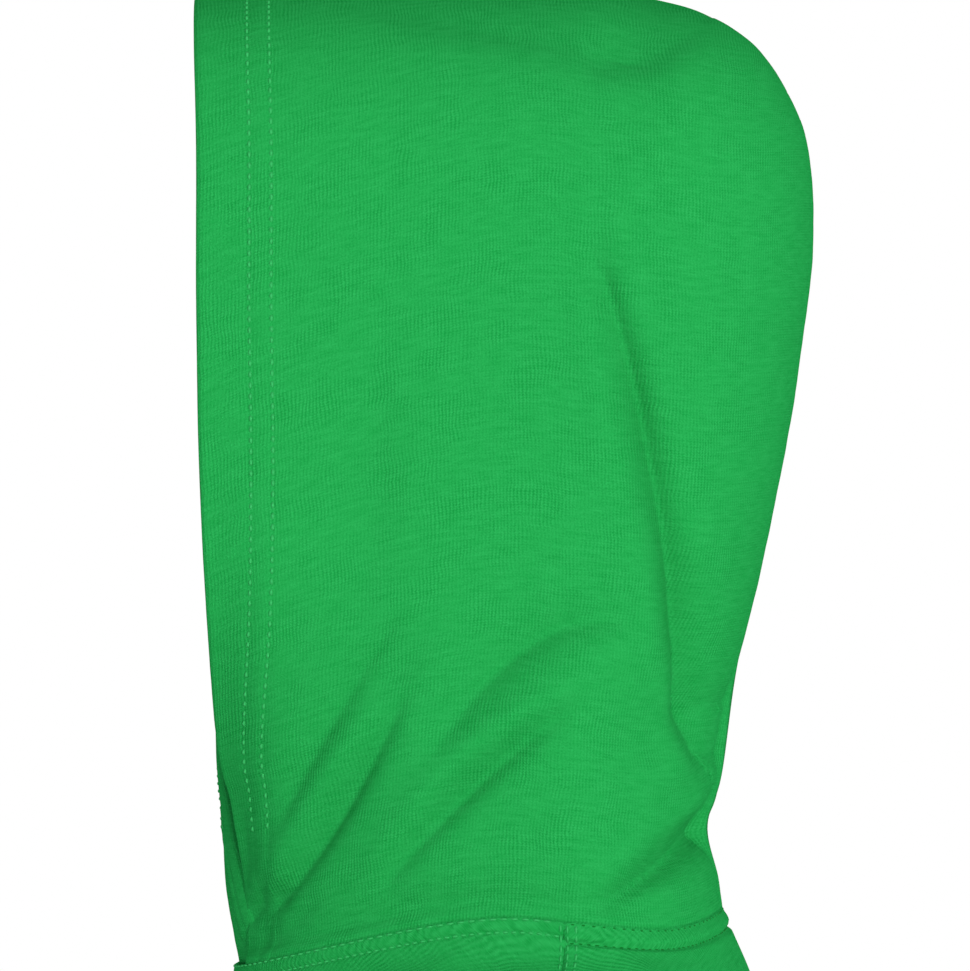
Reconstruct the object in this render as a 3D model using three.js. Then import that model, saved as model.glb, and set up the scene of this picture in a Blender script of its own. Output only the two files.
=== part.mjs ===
// Pullover hoodie in worn form with its hood up, hollow, in nine sewn pieces.
// Millimetres. The front faces -Y, the wearer's left is +X and up is +Z.
// The origin is the middle of the neck at the height of the neck seam.
import * as THREE from 'three';

const RADIAN = Math.PI / 180;
const WALL = 2.0;
const HEM_WALL = 3.0;
const HEM_DEPTH = 28;
const RIB_WALL = 2.2;
const SEAM_GAP = 0.3;

// Rings of the body from the neck seam (0) over the shoulder tip (4) and the underarm (6)
// to the top of the hem band (10) and its foot (12). half is the half width, mid the place of the
// side seam in Y, fore and aft the reach to the front and the back, then three heights.
const BODY = [
  { half: 87, mid: 32, fore: 126, aft: 61, front: -15, side: 5.6, back: 7, square: 2.0 },
  { half: 92, mid: 32, fore: 128, aft: 72, front: -30, side: -8, back: -18, square: 2.0 },
  { half: 112, mid: 29, fore: 133, aft: 86, front: -56, side: -19, back: -44, square: 2.05 },
  { half: 158, mid: 22, fore: 138, aft: 101, front: -98, side: -33, back: -78, square: 2.1 },
  { half: 200, mid: 13, fore: 141, aft: 114, front: -146, side: -51, back: -116, square: 2.15 },
  { half: 198, mid: 5, fore: 142, aft: 124, front: -204, side: -154, back: -186, square: 2.25 },
  { half: 186, mid: 0, fore: 139, aft: 126, front: -266, side: -258, back: -262, square: 2.25 },
  { half: 181, mid: -2, fore: 134, aft: 121, front: -360, side: -356, back: -358, square: 2.2 },
  { half: 180, mid: -3, fore: 131, aft: 118, front: -472, side: -470, back: -470, square: 2.2 },
  { half: 187, mid: -3, fore: 135, aft: 126, front: -582, side: -580, back: -580, square: 2.2 },
  { half: 177, mid: -3, fore: 127, aft: 117, front: -622, side: -622, back: -622, square: 2.2 },
  { half: 173, mid: -3, fore: 124, aft: 114, front: -655, side: -655, back: -655, square: 2.2 },
  { half: 170, mid: -3, fore: 122, aft: 112, front: -688, side: -688, back: -688, square: 2.2 },
];
const SHOULDER_TIP = 4;
const UNDERARM = 6;
const BAND_TOP = 10;
const BAND_FOOT = 12;

// Centre seam of the hood from the top of the face opening over the crown to the neck.
const CENTRE_SEAM = [
  { y: -109, z: 358 }, { y: -60, z: 361 }, { y: 0, z: 362 }, { y: 40, z: 361 },
  { y: 67, z: 356 }, { y: 87, z: 350 }, { y: 106, z: 337 }, { y: 119, z: 318 },
  { y: 126, z: 298 }, { y: 128, z: 267 }, { y: 125, z: 232 }, { y: 118, z: 187 },
  { y: 109, z: 142 }, { y: 99, z: 100 }, { y: 93, z: 58 }, { y: 87.5, z: 38 },
  { y: 91.5, z: 19 }, { y: 93, z: 7.3 },
];
const CROWN = 7;

// Face edge of the hood from the neck seam up.
const FACE_LEFT = [
  { y: -88.5, z: -14 }, { y: -88.8, z: 3 }, { y: -92, z: 26 }, { y: -95.5, z: 48 },
  { y: -100, z: 69 }, { y: -103, z: 120 }, { y: -105.5, z: 182 }, { y: -106.4, z: 240 },
  { y: -106.6, z: 300 }, { y: -109, z: 358 },
];
const FACE_RIGHT = [
  { y: -84, z: -13 }, { y: -88.5, z: 2 }, { y: -92.5, z: 20 }, { y: -97.5, z: 44 },
  { y: -101.5, z: 69 }, { y: -103.2, z: 120 }, { y: -105.5, z: 182 }, { y: -106.4, z: 240 },
  { y: -106.6, z: 300 }, { y: -109, z: 358 },
];

// Largest folds of the hood, as lines in the side view. wide is the half width, deep the depth,
// bow the sideways sweep of the line.
const FOLDS_LEFT = [
  { y0: 50, z0: 262, y1: 80, z1: 104, wide: 13, deep: 4.0, bow: -3 },
  { y0: -30, z0: 82, y1: -80, z1: 2, wide: 9, deep: 4.5, bow: -3 },
  { y0: 46, z0: 120, y1: -32, z1: 62, wide: 12, deep: 5.0, bow: 4 },
  { y0: 18, z0: 70, y1: -37, z1: 21, wide: 10, deep: 3.5, bow: 0 },
  { y0: 92, z0: 34, y1: 50, z1: 10, wide: 8, deep: 6.0, bow: 2 },
];
const FOLDS_RIGHT = [
  { y0: 58, z0: 240, y1: 84, z1: 112, wide: 14, deep: 3.6, bow: -4 },
  { y0: -22, z0: 92, y1: -70, z1: 8, wide: 10, deep: 4.2, bow: 3 },
  { y0: 52, z0: 134, y1: -24, z1: 70, wide: 13, deep: 4.6, bow: -4 },
  { y0: 30, z0: 62, y1: -20, z1: 24, wide: 11, deep: 3.4, bow: 2 },
  { y0: 92, z0: 34, y1: 46, z1: 14, wide: 8, deep: 5.4, bow: -2 },
];

// Folds of the body: place along the ring in mm from the front middle, and height.
const FOLDS_BODY = [
  { y0: 235, z0: -285, y1: 120, z1: -240, wide: 17, deep: 4.5, bow: 6 },
  { y0: -230, z0: -300, y1: -130, z1: -262, wide: 16, deep: 4.5, bow: -5 },
  { y0: 90, z0: -60, y1: 40, z1: -205, wide: 18, deep: 3.5, bow: 8 },
  { y0: -84, z0: -60, y1: -50, z1: -190, wide: 18, deep: 3.5, bow: -8 },
  { y0: 250, z0: -560, y1: 70, z1: -520, wide: 17, deep: 4.5, bow: 10 },
  { y0: -245, z0: -530, y1: -90, z1: -575, wide: 17, deep: 4.5, bow: -8 },
  { y0: 330, z0: -290, y1: 420, z1: -330, wide: 18, deep: 4.5, bow: -6 },
  { y0: -335, z0: -300, y1: -410, z1: -352, wide: 18, deep: 4.0, bow: 6 },
  { y0: 320, z0: -545, y1: 480, z1: -500, wide: 18, deep: 4.5, bow: -8 },
  { y0: -310, z0: -520, y1: -450, z1: -560, wide: 18, deep: 4.5, bow: 8 },
];

// Sleeve rings from the arm seam: turn is the tilt of the ring in degrees, high and wide its
// two diameters. The first ones swing about the underarm, the rest follow the arm.
const CAP = [
  { turn: 0, high: 208, wide: 124 },
  { turn: 20, high: 184, wide: 126 },
  { turn: 39, high: 160, wide: 127 },
  { turn: 57, high: 143, wide: 127 },
  { turn: 72, high: 133, wide: 126 },
];
const ARM = [
  { along: 40, high: 130, wide: 123, bend: 0 },
  { along: 80, high: 124, wide: 119, bend: 3 },
  { along: 118, high: 117, wide: 118, bend: 8 },
  { along: 156, high: 111, wide: 113, bend: 13 },
  { along: 196, high: 107, wide: 106, bend: 16 },
  { along: 238, high: 101, wide: 100, bend: 17 },
  { along: 276, high: 98, wide: 96, bend: 18 },
  { along: 306, high: 96, wide: 93, bend: 18 },
  { along: 322, high: 86, wide: 82, bend: 18 },
  { along: 330, high: 66, wide: 62.5, bend: 18 },
  { along: 334, high: 63.4, wide: 59.8, bend: 18 },
];
const CUFF_LONG = 68;
const CUFF_HALF = 31;

const clamp = (t, low = 0, high = 1) => Math.min(high, Math.max(low, t));
const mix = (a, b, t) => a + (b - a) * t;

function ease(t) {
  const c = clamp(t);
  return c * c * (3 - 2 * c);
}

const add = (p, q, k = 1) => [p[0] + q[0] * k, p[1] + q[1] * k, p[2] + q[2] * k];
const minus = (p, q) => [p[0] - q[0], p[1] - q[1], p[2] - q[2]];
const dot = (p, q) => p[0] * q[0] + p[1] * q[1] + p[2] * q[2];
const cross = (p, q) => [
  p[1] * q[2] - p[2] * q[1], p[2] * q[0] - p[0] * q[2], p[0] * q[1] - p[1] * q[0],
];

function unit(p) {
  const long = Math.hypot(...p) || 1;
  return [p[0] / long, p[1] / long, p[2] / long];
}

// One column of a table at a place between its rows, on a smooth line through them.
function read(rows, name, at) {
  const last = rows.length - 1;
  const i = clamp(Math.floor(at), 0, last - 1);
  const t = at - i;
  const value = (k) => rows[clamp(k, 0, last)][name];
  const rise = (value(i + 1) - value(i - 1)) / 2;
  const leave = (value(i + 2) - value(i)) / 2;
  const t2 = t * t;
  const t3 = t2 * t;
  return (2 * t3 - 3 * t2 + 1) * value(i) + (t3 - 2 * t2 + t) * rise
    + (3 * t2 - 2 * t3) * value(i + 1) + (t3 - t2) * leave;
}

// Depth of all listed folds at one place of a flat view.
function foldDepth(a, b, folds) {
  let deep = 0;
  for (const fold of folds) {
    const da = fold.y1 - fold.y0;
    const db = fold.z1 - fold.z0;
    const long = Math.hypot(da, db);
    const t = ((a - fold.y0) * da + (b - fold.z0) * db) / (long * long);
    const side = ((a - fold.y0) * db - (b - fold.z0) * da) / long;
    const inside = clamp(t);
    const past = (t - inside) * long;
    const off = side - fold.bow * 4 * inside * (1 - inside);
    const near = Math.exp(-(off * off + past * past) / (fold.wide * fold.wide));
    const fade = 0.35 + 0.65 * Math.sin(Math.PI * clamp(inside, 0.02, 0.98));
    deep += fold.deep * near * fade;
  }
  return deep;
}

// Small rise and dip of the neck seam between the front, the shoulder and the back.
function neckWave(c) {
  if (c > 0) return 28 * c * (1 - c) ** 3;
  return -4 * Math.sin(Math.PI * (-c) ** 1.6);
}

function bodyPlain(angle, level) {
  const s = Math.sin(angle);
  const c = Math.cos(angle);
  const soft = Math.min(1.5 * ease(Math.abs(c) * 1.6), level, Math.max(0, BAND_TOP - level));
  const ring = (name) => {
    if (soft <= 0) return read(BODY, name, level);
    return (read(BODY, name, level - soft) + read(BODY, name, level) * 2
      + read(BODY, name, level + soft)) / 4;
  };
  const power = 2 / ring('square');
  const side = ring('side');
  const reach = Math.abs(c) ** power;
  const x = ring('half') * Math.sign(s) * Math.abs(s) ** power;
  const way = c > 0 ? -ring('fore') : ring('aft');
  const end = c > 0 ? ring('front') : ring('back');
  const wave = neckWave(c) * Math.max(0, 1 - level);
  return [x, ring('mid') + way * reach, side + (end - side) * Math.abs(c) ** 1.9 + wave];
}

function surfaceNormal(place, a, b, stepA, stepB) {
  const alongA = minus(place(a + stepA, b), place(a - stepA, b));
  const alongB = minus(place(a, b + stepB), place(a, b - stepB));
  return unit(cross(alongA, alongB));
}

function bodyNormal(angle, level) {
  const low = clamp(level, 0.06, BAND_FOOT - 0.06);
  const n = surfaceNormal(bodyPlain, angle, low, 0.02, 0.05);
  const out = [Math.sin(angle), -Math.cos(angle), 0];
  return dot(n, out) < 0 ? [-n[0], -n[1], -n[2]] : n;
}

function bodyPoint(angle, level) {
  const p = bodyPlain(angle, level);
  const calm = ease(level - 0.6) * ease((BAND_TOP - level) * 1.6);
  const deep = foldDepth((angle / RADIAN) * 2.75, p[2], FOLDS_BODY) * calm;
  return add(p, bodyNormal(angle, level), -deep);
}

// Closed wall between an outer and an inner grid of points.
function wallSolid(outer, inner, round = false) {
  const rows = outer.length;
  const cols = outer[0].length;
  const points = [];
  const faces = [];
  for (const grid of [outer, inner]) {
    for (const row of grid) points.push(...row);
  }
  const place = (side, r, c) => side * rows * cols + r * cols + (c % cols);
  const quad = (a, b, c, d) => faces.push([a, b, c], [a, c, d]);
  const spans = round ? cols : cols - 1;
  for (let r = 0; r + 1 < rows; r += 1) {
    for (let c = 0; c < spans; c += 1) {
      quad(place(0, r, c), place(0, r, c + 1), place(0, r + 1, c + 1), place(0, r + 1, c));
      quad(place(1, r, c), place(1, r + 1, c), place(1, r + 1, c + 1), place(1, r, c + 1));
    }
  }
  for (let c = 0; c < spans; c += 1) {
    quad(place(0, 0, c + 1), place(0, 0, c), place(1, 0, c), place(1, 0, c + 1));
    const r = rows - 1;
    quad(place(0, r, c), place(0, r, c + 1), place(1, r, c + 1), place(1, r, c));
  }
  for (let r = 0; r + 1 < rows && !round; r += 1) {
    quad(place(0, r, 0), place(0, r + 1, 0), place(1, r + 1, 0), place(1, r, 0));
    const c = cols - 1;
    quad(place(0, r + 1, c), place(0, r, c), place(1, r, c), place(1, r + 1, c));
  }
  return { points, faces };
}

function volumeOf({ points, faces }) {
  let six = 0;
  for (const [a, b, c] of faces) six += dot(points[a], cross(points[b], points[c]));
  return six / 6;
}

function meshOf(name, solid, material) {
  const flip = volumeOf(solid) < 0;
  const order = solid.faces.flatMap(([a, b, c]) => (flip ? [a, c, b] : [a, b, c]));
  const geometry = new THREE.BufferGeometry();
  geometry.setAttribute('position', new THREE.Float32BufferAttribute(solid.points.flat(), 3));
  geometry.setIndex(order);
  geometry.computeVertexNormals();
  const mesh = new THREE.Mesh(geometry, material);
  mesh.name = name;
  return mesh;
}

const mirrored = (p) => [-p[0], p[1], p[2]];

// Armhole: step 0 is the shoulder tip, step 1 the underarm, ahead picks the front or back edge.
const ARMHOLE_STEPS = 14;
const ARMHOLE_FRONT = 21 * RADIAN;
const ARMHOLE_BACK = 25 * RADIAN;

function armholePlace(step, ahead) {
  const phase = Math.PI * step;
  const level = (SHOULDER_TIP + UNDERARM) / 2 - Math.cos(phase) * (UNDERARM - SHOULDER_TIP) / 2;
  const open = (ahead ? ARMHOLE_FRONT : ARMHOLE_BACK) * Math.sin(phase);
  return { angle: Math.PI / 2 - (ahead ? open : -open), level };
}

// Places of the loop of the left armhole, down its front edge and up its back edge.
function armholeLoop() {
  const loop = [];
  for (let i = 0; i < ARMHOLE_STEPS; i += 1) loop.push(armholePlace(i / ARMHOLE_STEPS, true));
  for (let i = ARMHOLE_STEPS; i > 0; i -= 1) loop.push(armholePlace(i / ARMHOLE_STEPS, false));
  return loop;
}

// Sleeve frame of one ring: a point at its underarm side, its up direction and its facing.
function capFrame(step) {
  const turn = read(CAP, 'turn', step) * RADIAN;
  const share = step / (CAP.length - 1);
  const under = bodyPlain(Math.PI / 2, UNDERARM);
  const foot = add(under, [15 * share, 0, -10 * share]);
  return {
    foot,
    up: [Math.sin(turn), 0, Math.cos(turn)],
    facing: [Math.cos(turn), 0, -Math.sin(turn)],
    high: read(CAP, 'high', step),
    wide: read(CAP, 'wide', step),
  };
}

function loopPoints() {
  return armholeLoop().map(({ angle, level }) => bodyPoint(angle, level));
}

function capRing(step, loop) {
  const frame = capFrame(step);
  const share = step / (CAP.length - 1);
  const round = ease(share * 1.15);
  const first = capFrame(0);
  const count = loop.length;
  return loop.map((p, i) => {
    const phase = (2 * Math.PI * i) / count;
    const own = minus(p, first.foot);
    const tall = mix(own[2] / first.high, (1 + Math.cos(phase)) / 2, round);
    const aside = mix(own[1] / first.wide, -Math.sin(phase) / 2, round);
    const stray = own[0] * (1 - round);
    let q = add(frame.foot, frame.up, tall * frame.high);
    q = add(q, [0, 1, 0], aside * frame.wide);
    return add(q, frame.facing, stray);
  });
}

// Middle line of the arm below the cap, bending forward at the elbow.
function armFrame(row) {
  const start = capFrame(CAP.length - 1);
  let middle = add(start.foot, start.up, start.high / 2);
  const steps = Math.round(row.along / 4);
  for (let i = 0; i < steps; i += 1) {
    middle = add(middle, armAxes(bendAt((i + 0.5) * row.along / steps)).facing, row.along / steps);
  }
  return { middle, ...armAxes(row.bend) };
}

function bendAt(along) {
  const rows = [{ along: 0, bend: 0 }, ...ARM];
  const i = clamp(rows.findIndex((r) => r.along > along) - 1, 0, rows.length - 2);
  const t = clamp((along - rows[i].along) / (rows[i + 1].along - rows[i].along));
  return mix(rows[i].bend, rows[i + 1].bend, t);
}

function armAxes(bend) {
  const lean = mix(18, 13, bend / 18) * RADIAN;
  const tip = bend * RADIAN;
  const facing = unit([Math.sin(lean), -Math.sin(tip) * Math.cos(lean), -Math.cos(lean) * Math.cos(tip)]);
  const ahead = unit(cross(facing, unit(cross([0, 1, 0], facing))));
  const aside = ahead[1] < 0 ? ahead.map((v) => -v) : ahead;
  const up = unit(cross(aside, facing));
  return { facing, aside, up: up[0] < 0 ? up.map((v) => -v) : up };
}

function armRing(row, count, swell = 0) {
  const frame = armFrame(row);
  const ring = [];
  for (let i = 0; i < count; i += 1) {
    const phase = (2 * Math.PI * i) / count;
    const crease = 1 + swell * Math.sin(phase * 2 + row.along * 0.11);
    let q = add(frame.middle, frame.up, (Math.cos(phase) * row.high * crease) / 2);
    q = add(q, frame.aside, (-Math.sin(phase) * row.wide * crease) / 2);
    ring.push(q);
  }
  return ring;
}

// Outward directions of a closed tube of rings.
function tubeNormals(rings) {
  const count = rings[0].length;
  return rings.map((ring, r) => ring.map((p, i) => {
    const before = rings[Math.max(0, r - 1)];
    const after = rings[Math.min(rings.length - 1, r + 1)];
    const round = minus(ring[(i + 1) % count], ring[(i + count - 1) % count]);
    const middle = ring.reduce((sum, q) => add(sum, q, 1 / count), [0, 0, 0]);
    const n = unit(cross(round, minus(after[i], before[i])));
    return dot(n, minus(p, middle)) < 0 ? n.map((v) => -v) : n;
  }));
}

// Shared lie of the armhole seam: where the wall of both pieces runs inward, and the gap.
function armholeMitre(loop, sleeveNormals) {
  const count = loop.length;
  return armholeLoop().map(({ angle, level }, i) => {
    const own = bodyNormal(angle, level);
    const inward = unit(add(own, sleeveNormals[i]));
    const along = unit(minus(loop[(i + 1) % count], loop[(i + count - 1) % count]));
    const gap = unit(cross(along, inward));
    const depth = WALL / Math.max(0.62, dot(inward, own));
    return { inward, depth, gap: gap[0] < 0 ? gap.map((v) => -v) : gap };
  });
}

function sleeveRings(creases) {
  const loop = loopPoints();
  const rings = [loop];
  for (let step = 1; step < CAP.length; step += 1) rings.push(capRing(step, loop));
  ARM.forEach((row, i) => rings.push(armRing(row, loop.length, creases[i] ?? 0)));
  return rings;
}

const CREASES_LEFT = [0, 0.012, 0.028, 0.03, 0.014, 0.012, 0.03, 0.034, 0.01, 0, 0];
const CREASES_RIGHT = [0.006, 0.016, 0.022, 0.034, 0.01, 0.016, 0.024, 0.038, 0.008, 0, 0];

const PLAIN_RINGS = sleeveRings(CREASES_LEFT);
const MITRE = armholeMitre(PLAIN_RINGS[0], tubeNormals(PLAIN_RINGS)[0]);

function sleeveSolid(creases, turnOver) {
  const rings = sleeveRings(creases);
  const normals = tubeNormals(rings);
  const outer = rings.map((ring, r) => ring.map((p, i) => (r ? p : add(p, MITRE[i].gap, SEAM_GAP))));
  const inner = outer.map((ring, r) => ring.map((p, i) => (r
    ? add(p, normals[r][i], -WALL)
    : add(p, MITRE[i].inward, -MITRE[i].depth))));
  if (!turnOver) return wallSolid(outer, inner, true);
  return wallSolid(outer.map((ring) => ring.map(mirrored)), inner.map((ring) => ring.map(mirrored)), true);
}

// Rows of a body panel from the neck to the hem band.
function bodyRows() {
  const rows = [];
  for (const level of [0, 0.5, 1, 1.7, 2.5, 3.25]) rows.push({ level, step: null });
  for (let i = 0; i <= ARMHOLE_STEPS; i += 1) {
    rows.push({ level: armholePlace(i / ARMHOLE_STEPS, true).level, step: i / ARMHOLE_STEPS });
  }
  for (const level of [6.35, 6.8, 7.4, 8, 8.6, 9, 9.35, 9.65, 9.85, 10]) rows.push({ level, step: null });
  return rows;
}

const sideGap = (level) => SEAM_GAP / 2 / Math.max(60, read(BODY, 'fore', level));

function bodyPanel(ahead, columns) {
  const outer = [];
  const inner = [];
  for (const row of bodyRows()) {
    const edge = row.step === null ? Math.PI / 2 : armholePlace(row.step, ahead).angle;
    const reach = (ahead ? edge : Math.PI - edge) - sideGap(row.level);
    const outs = [];
    const ins = [];
    for (let c = 0; c <= columns; c += 1) {
      const share = (2 * c) / columns - 1;
      const angle = ahead ? share * reach : Math.PI + share * reach;
      const p = bodyPoint(angle, row.level);
      outs.push(p);
      ins.push(add(p, bodyNormal(angle, row.level), -WALL));
    }
    if (row.step !== null) mitreEdges(outs, ins, row.step, ahead);
    outer.push(outs);
    inner.push(ins);
  }
  return wallSolid(outer, inner);
}

// Lets both armhole edges of one row run inward along the shared seam.
function mitreEdges(outs, ins, step, ahead) {
  const i = Math.round(step * ARMHOLE_STEPS);
  const seam = MITRE[ahead ? i : (2 * ARMHOLE_STEPS - i) % (2 * ARMHOLE_STEPS)];
  const left = ahead ? outs.length - 1 : 0;
  const right = outs.length - 1 - left;
  ins[left] = add(outs[left], seam.inward, -seam.depth);
  ins[right] = add(outs[right], mirrored(seam.inward), -seam.depth);
}

// Hood panel as a patch between the neck seam, the face edge and the centre seam.
const FRONT_COLUMNS = 24;
const BACK_COLUMNS = 22;
const HOOD_ROWS = 25;
const HOOD_HALF = 88;
const HOOD_ROUND = 88;

function seamDistance(y, z) {
  let best = Infinity;
  const steps = 60;
  for (let i = 0; i < steps; i += 1) {
    const a = seamAt((i / steps) * (CENTRE_SEAM.length - 1));
    const b = seamAt(((i + 1) / steps) * (CENTRE_SEAM.length - 1));
    const t = clamp(((y - a[0]) * (b[0] - a[0]) + (z - a[1]) * (b[1] - a[1]))
      / ((b[0] - a[0]) ** 2 + (b[1] - a[1]) ** 2));
    best = Math.min(best, Math.hypot(y - mix(a[0], b[0], t), z - mix(a[1], b[1], t)));
  }
  return best;
}

const seamAt = (at) => [read(CENTRE_SEAM, 'y', at), read(CENTRE_SEAM, 'z', at)];

// Place on a table line at a share of its length.
function lineAt(rows, from, to, share) {
  const steps = 40;
  const marks = [0];
  const spot = (i) => {
    const at = mix(from, to, i / steps);
    return [read(rows, 'y', at), read(rows, 'z', at)];
  };
  for (let i = 1; i <= steps; i += 1) {
    const a = spot(i - 1);
    const b = spot(i);
    marks.push(marks[i - 1] + Math.hypot(b[0] - a[0], b[1] - a[1]));
  }
  const want = clamp(share) * marks[steps];
  const i = clamp(marks.findIndex((m) => m >= want), 1, steps);
  const t = (want - marks[i - 1]) / (marks[i] - marks[i - 1] || 1);
  const a = spot(i - 1);
  const b = spot(i);
  return [mix(a[0], b[0], t), mix(a[1], b[1], t)];
}

// Columns of a hood panel: as many as the body has between the foot of the face edge and the back.
const frontColumns = (panel) => FRONT_COLUMNS / 2 - panel.skip;
const hoodColumns = (panel) => frontColumns(panel) + BACK_COLUMNS / 2;

// Angle of one place along the neck seam, in step with the columns of the body.
function footAngle(u, panel) {
  const count = u * hoodColumns(panel);
  const front = frontColumns(panel);
  if (count < front) return (90 - (front - count) * (180 / FRONT_COLUMNS)) * RADIAN;
  return (90 + (count - front) * (180 / BACK_COLUMNS)) * RADIAN;
}

function hoodFoot(u, panel) {
  const angle = footAngle(u, panel);
  const p = bodyPlain(angle, 0);
  const tuck = panel.tuck * ease((12 - angle / RADIAN) / 26);
  const inward = unit([-p[0], 20 - p[1], 0]);
  return add(add(p, inward, tuck), [0, 0, 1], SEAM_GAP);
}

// Lets a line that starts near a foot start exactly at it.
function footed(spot, start, foot, rise) {
  const share = (1 - rise) ** 9;
  return [spot[0] + (foot[1] - start.y) * share, spot[1] + (foot[2] - start.z) * share];
}

function hoodPlain(u, v, panel) {
  const across = 1 - (1 - u) ** 1.35;
  const rise = 1 - (1 - v) ** 1.45;
  const foot = hoodFoot(u, panel);
  const last = CENTRE_SEAM.length - 1;
  const top = lineAt(CENTRE_SEAM, 0, CROWN, across);
  const c00 = hoodFoot(0, panel);
  const c10 = hoodFoot(1, panel);
  const face = footed(lineAt(panel.face, 0, panel.face.length - 1, rise), panel.face[0], c00, rise);
  const nape = footed(lineAt(CENTRE_SEAM, last, CROWN, rise), CENTRE_SEAM[last], c10, rise);
  const c01 = lineAt(CENTRE_SEAM, 0, CROWN, 0);
  const c11 = lineAt(CENTRE_SEAM, 0, CROWN, 1);
  const blend = (k) => (1 - rise) * foot[k + 1] + rise * top[k] + (1 - across) * face[k] + across * nape[k]
    - (1 - across) * (1 - rise) * c00[k + 1] - across * (1 - rise) * c10[k + 1]
    - (1 - across) * rise * c01[k] - across * rise * c11[k];
  const y = blend(0);
  const z = blend(1);
  const near = clamp(seamDistance(y, z) / HOOD_ROUND);
  const dome = HOOD_HALF * (1 - (1 - near) ** 2.4) ** (1 / 2.4) * (1 - 0.09 * (1 - across) ** 3);
  const x = mix(foot[0], dome, ease(v / panel.splay));
  return [x, y, z];
}

function hoodNormal(u, v, panel) {
  const place = (a, b) => hoodPlain(a, b, panel);
  const n = surfaceNormal(place, clamp(u, 0.012, 0.985), clamp(v, 0.012, 0.985), 0.01, 0.01);
  const out = [1, 0, 0];
  let side = dot(n, out) < 0 ? n.map((k) => -k) : n;
  if (u > 0.999 || v > 0.999) side = unit([0, side[1], side[2]]);
  if (v < 0.001) side = unit([side[0], side[1], 0]);
  return side;
}

function hoodSolid(panel, turnOver) {
  const outer = [];
  const inner = [];
  for (let r = 0; r <= HOOD_ROWS; r += 1) {
    const outs = [];
    const ins = [];
    for (let c = 0; c <= hoodColumns(panel); c += 1) {
      const u = c / hoodColumns(panel);
      const v = r / HOOD_ROWS;
      let p = hoodPlain(u, v, panel);
      const n = hoodNormal(u, v, panel);
      const calm = ease((p[2] + 8) / 20) * (u === 1 || v === 1 ? 0 : 1);
      p = add(p, n, -foldDepth(p[1], p[2], panel.folds) * calm);
      const seam = u === 1 || v === 1;
      if (seam) p[0] = SEAM_GAP / 2;
      const doubled = ease((HEM_DEPTH + 3 - (p[1] - panel.face[4].y)) / 6);
      outs.push(p);
      ins.push(add(p, n, -mix(WALL, HEM_WALL, doubled)));
    }
    outer.push(turnOver ? outs.map(mirrored) : outs);
    inner.push(turnOver ? ins.map(mirrored) : ins);
  }
  return wallSolid(outer, inner);
}

const LEFT_HOOD = { skip: 2, tuck: 0, face: FACE_LEFT, folds: FOLDS_LEFT, splay: 0.34 };
const RIGHT_HOOD = { skip: -3, tuck: 4.2, face: FACE_RIGHT, folds: FOLDS_RIGHT, splay: 0.34 };

// Closed band with ribs on its outside: three outer rings of many points, two plain inner ones.
function ribbedBand(ringAt, ribs, wall, rise) {
  const fine = ribs * 2;
  const coarse = Math.round(ribs / 2);
  const points = [];
  const faces = [];
  const rings = [];
  const lay = (count, height, depth) => {
    const ids = [];
    for (let i = 0; i < count; i += 1) {
      const { p, n } = ringAt(i / count, height);
      const ridge = count === fine && i % 2 === 0 ? rise : 0;
      ids.push(points.length);
      points.push(add(p, n, ridge - depth));
    }
    rings.push(ids);
    return ids;
  };
  const outs = [0, 0.5, 1].map((height) => lay(fine, height, 0));
  const ins = [1, 0].map((height) => lay(coarse, height, wall));
  const loop = [...outs, ...ins];
  loop.forEach((ring, k) => faces.push(...zipRings(ring, loop[(k + 1) % loop.length])));
  return { points, faces };
}

// Triangles between two closed rings of any two counts.
function zipRings(a, b) {
  const faces = [];
  let i = 0;
  let j = 0;
  while (i < a.length || j < b.length) {
    const stepA = j >= b.length || (i < a.length && (i + 1) / a.length <= (j + 1) / b.length);
    if (stepA) {
      faces.push([a[i % a.length], a[(i + 1) % a.length], b[j % b.length]]);
      i += 1;
    } else {
      faces.push([a[i % a.length], b[(j + 1) % b.length], b[j % b.length]]);
      j += 1;
    }
  }
  return faces;
}

// Angles round a body ring at equal lengths.
function evenAngle(share, level) {
  const steps = 360;
  const marks = EVEN_MARKS[level] ?? (EVEN_MARKS[level] = ringMarks(level, steps));
  const want = share * marks[steps];
  const i = clamp(marks.findIndex((m) => m >= want), 1, steps);
  const t = (want - marks[i - 1]) / (marks[i] - marks[i - 1]);
  return ((i - 1 + t) / steps) * 2 * Math.PI;
}

const EVEN_MARKS = {};

function ringMarks(level, steps) {
  const marks = [0];
  for (let i = 1; i <= steps; i += 1) {
    const a = bodyPlain(((i - 1) / steps) * 2 * Math.PI, level);
    const b = bodyPlain((i / steps) * 2 * Math.PI, level);
    marks.push(marks[i - 1] + Math.hypot(...minus(b, a)));
  }
  return marks;
}

function hemBand() {
  const ringAt = (share, height) => {
    const level = mix(BAND_TOP, BAND_FOOT, height);
    const angle = evenAngle(share, BAND_TOP + 1);
    const p = bodyPlain(angle, level);
    const n = unit([Math.sin(angle) / 1.4, -Math.cos(angle), 0]);
    return { p: add(p, [0, 0, -1], height === 0 ? SEAM_GAP : 0), n };
  };
  return ribbedBand(ringAt, 132, RIB_WALL, 0.8);
}

function cuffBand(turnOver) {
  const end = armFrame(ARM[ARM.length - 1]);
  const ringAt = (share, height) => {
    const phase = 2 * Math.PI * share;
    const half = CUFF_HALF - 1.5 * height + 1.2 * Math.sin(Math.PI * height);
    const n = add(add([0, 0, 0], end.up, Math.cos(phase)), end.aside, -Math.sin(phase) * 0.94);
    const middle = add(end.middle, end.facing, SEAM_GAP + height * CUFF_LONG);
    const p = add(middle, n, half);
    const out = unit(n);
    return turnOver ? { p: mirrored(p), n: mirrored(out) } : { p, n: out };
  };
  return ribbedBand(ringAt, 36, RIB_WALL, 0.7);
}

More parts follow.
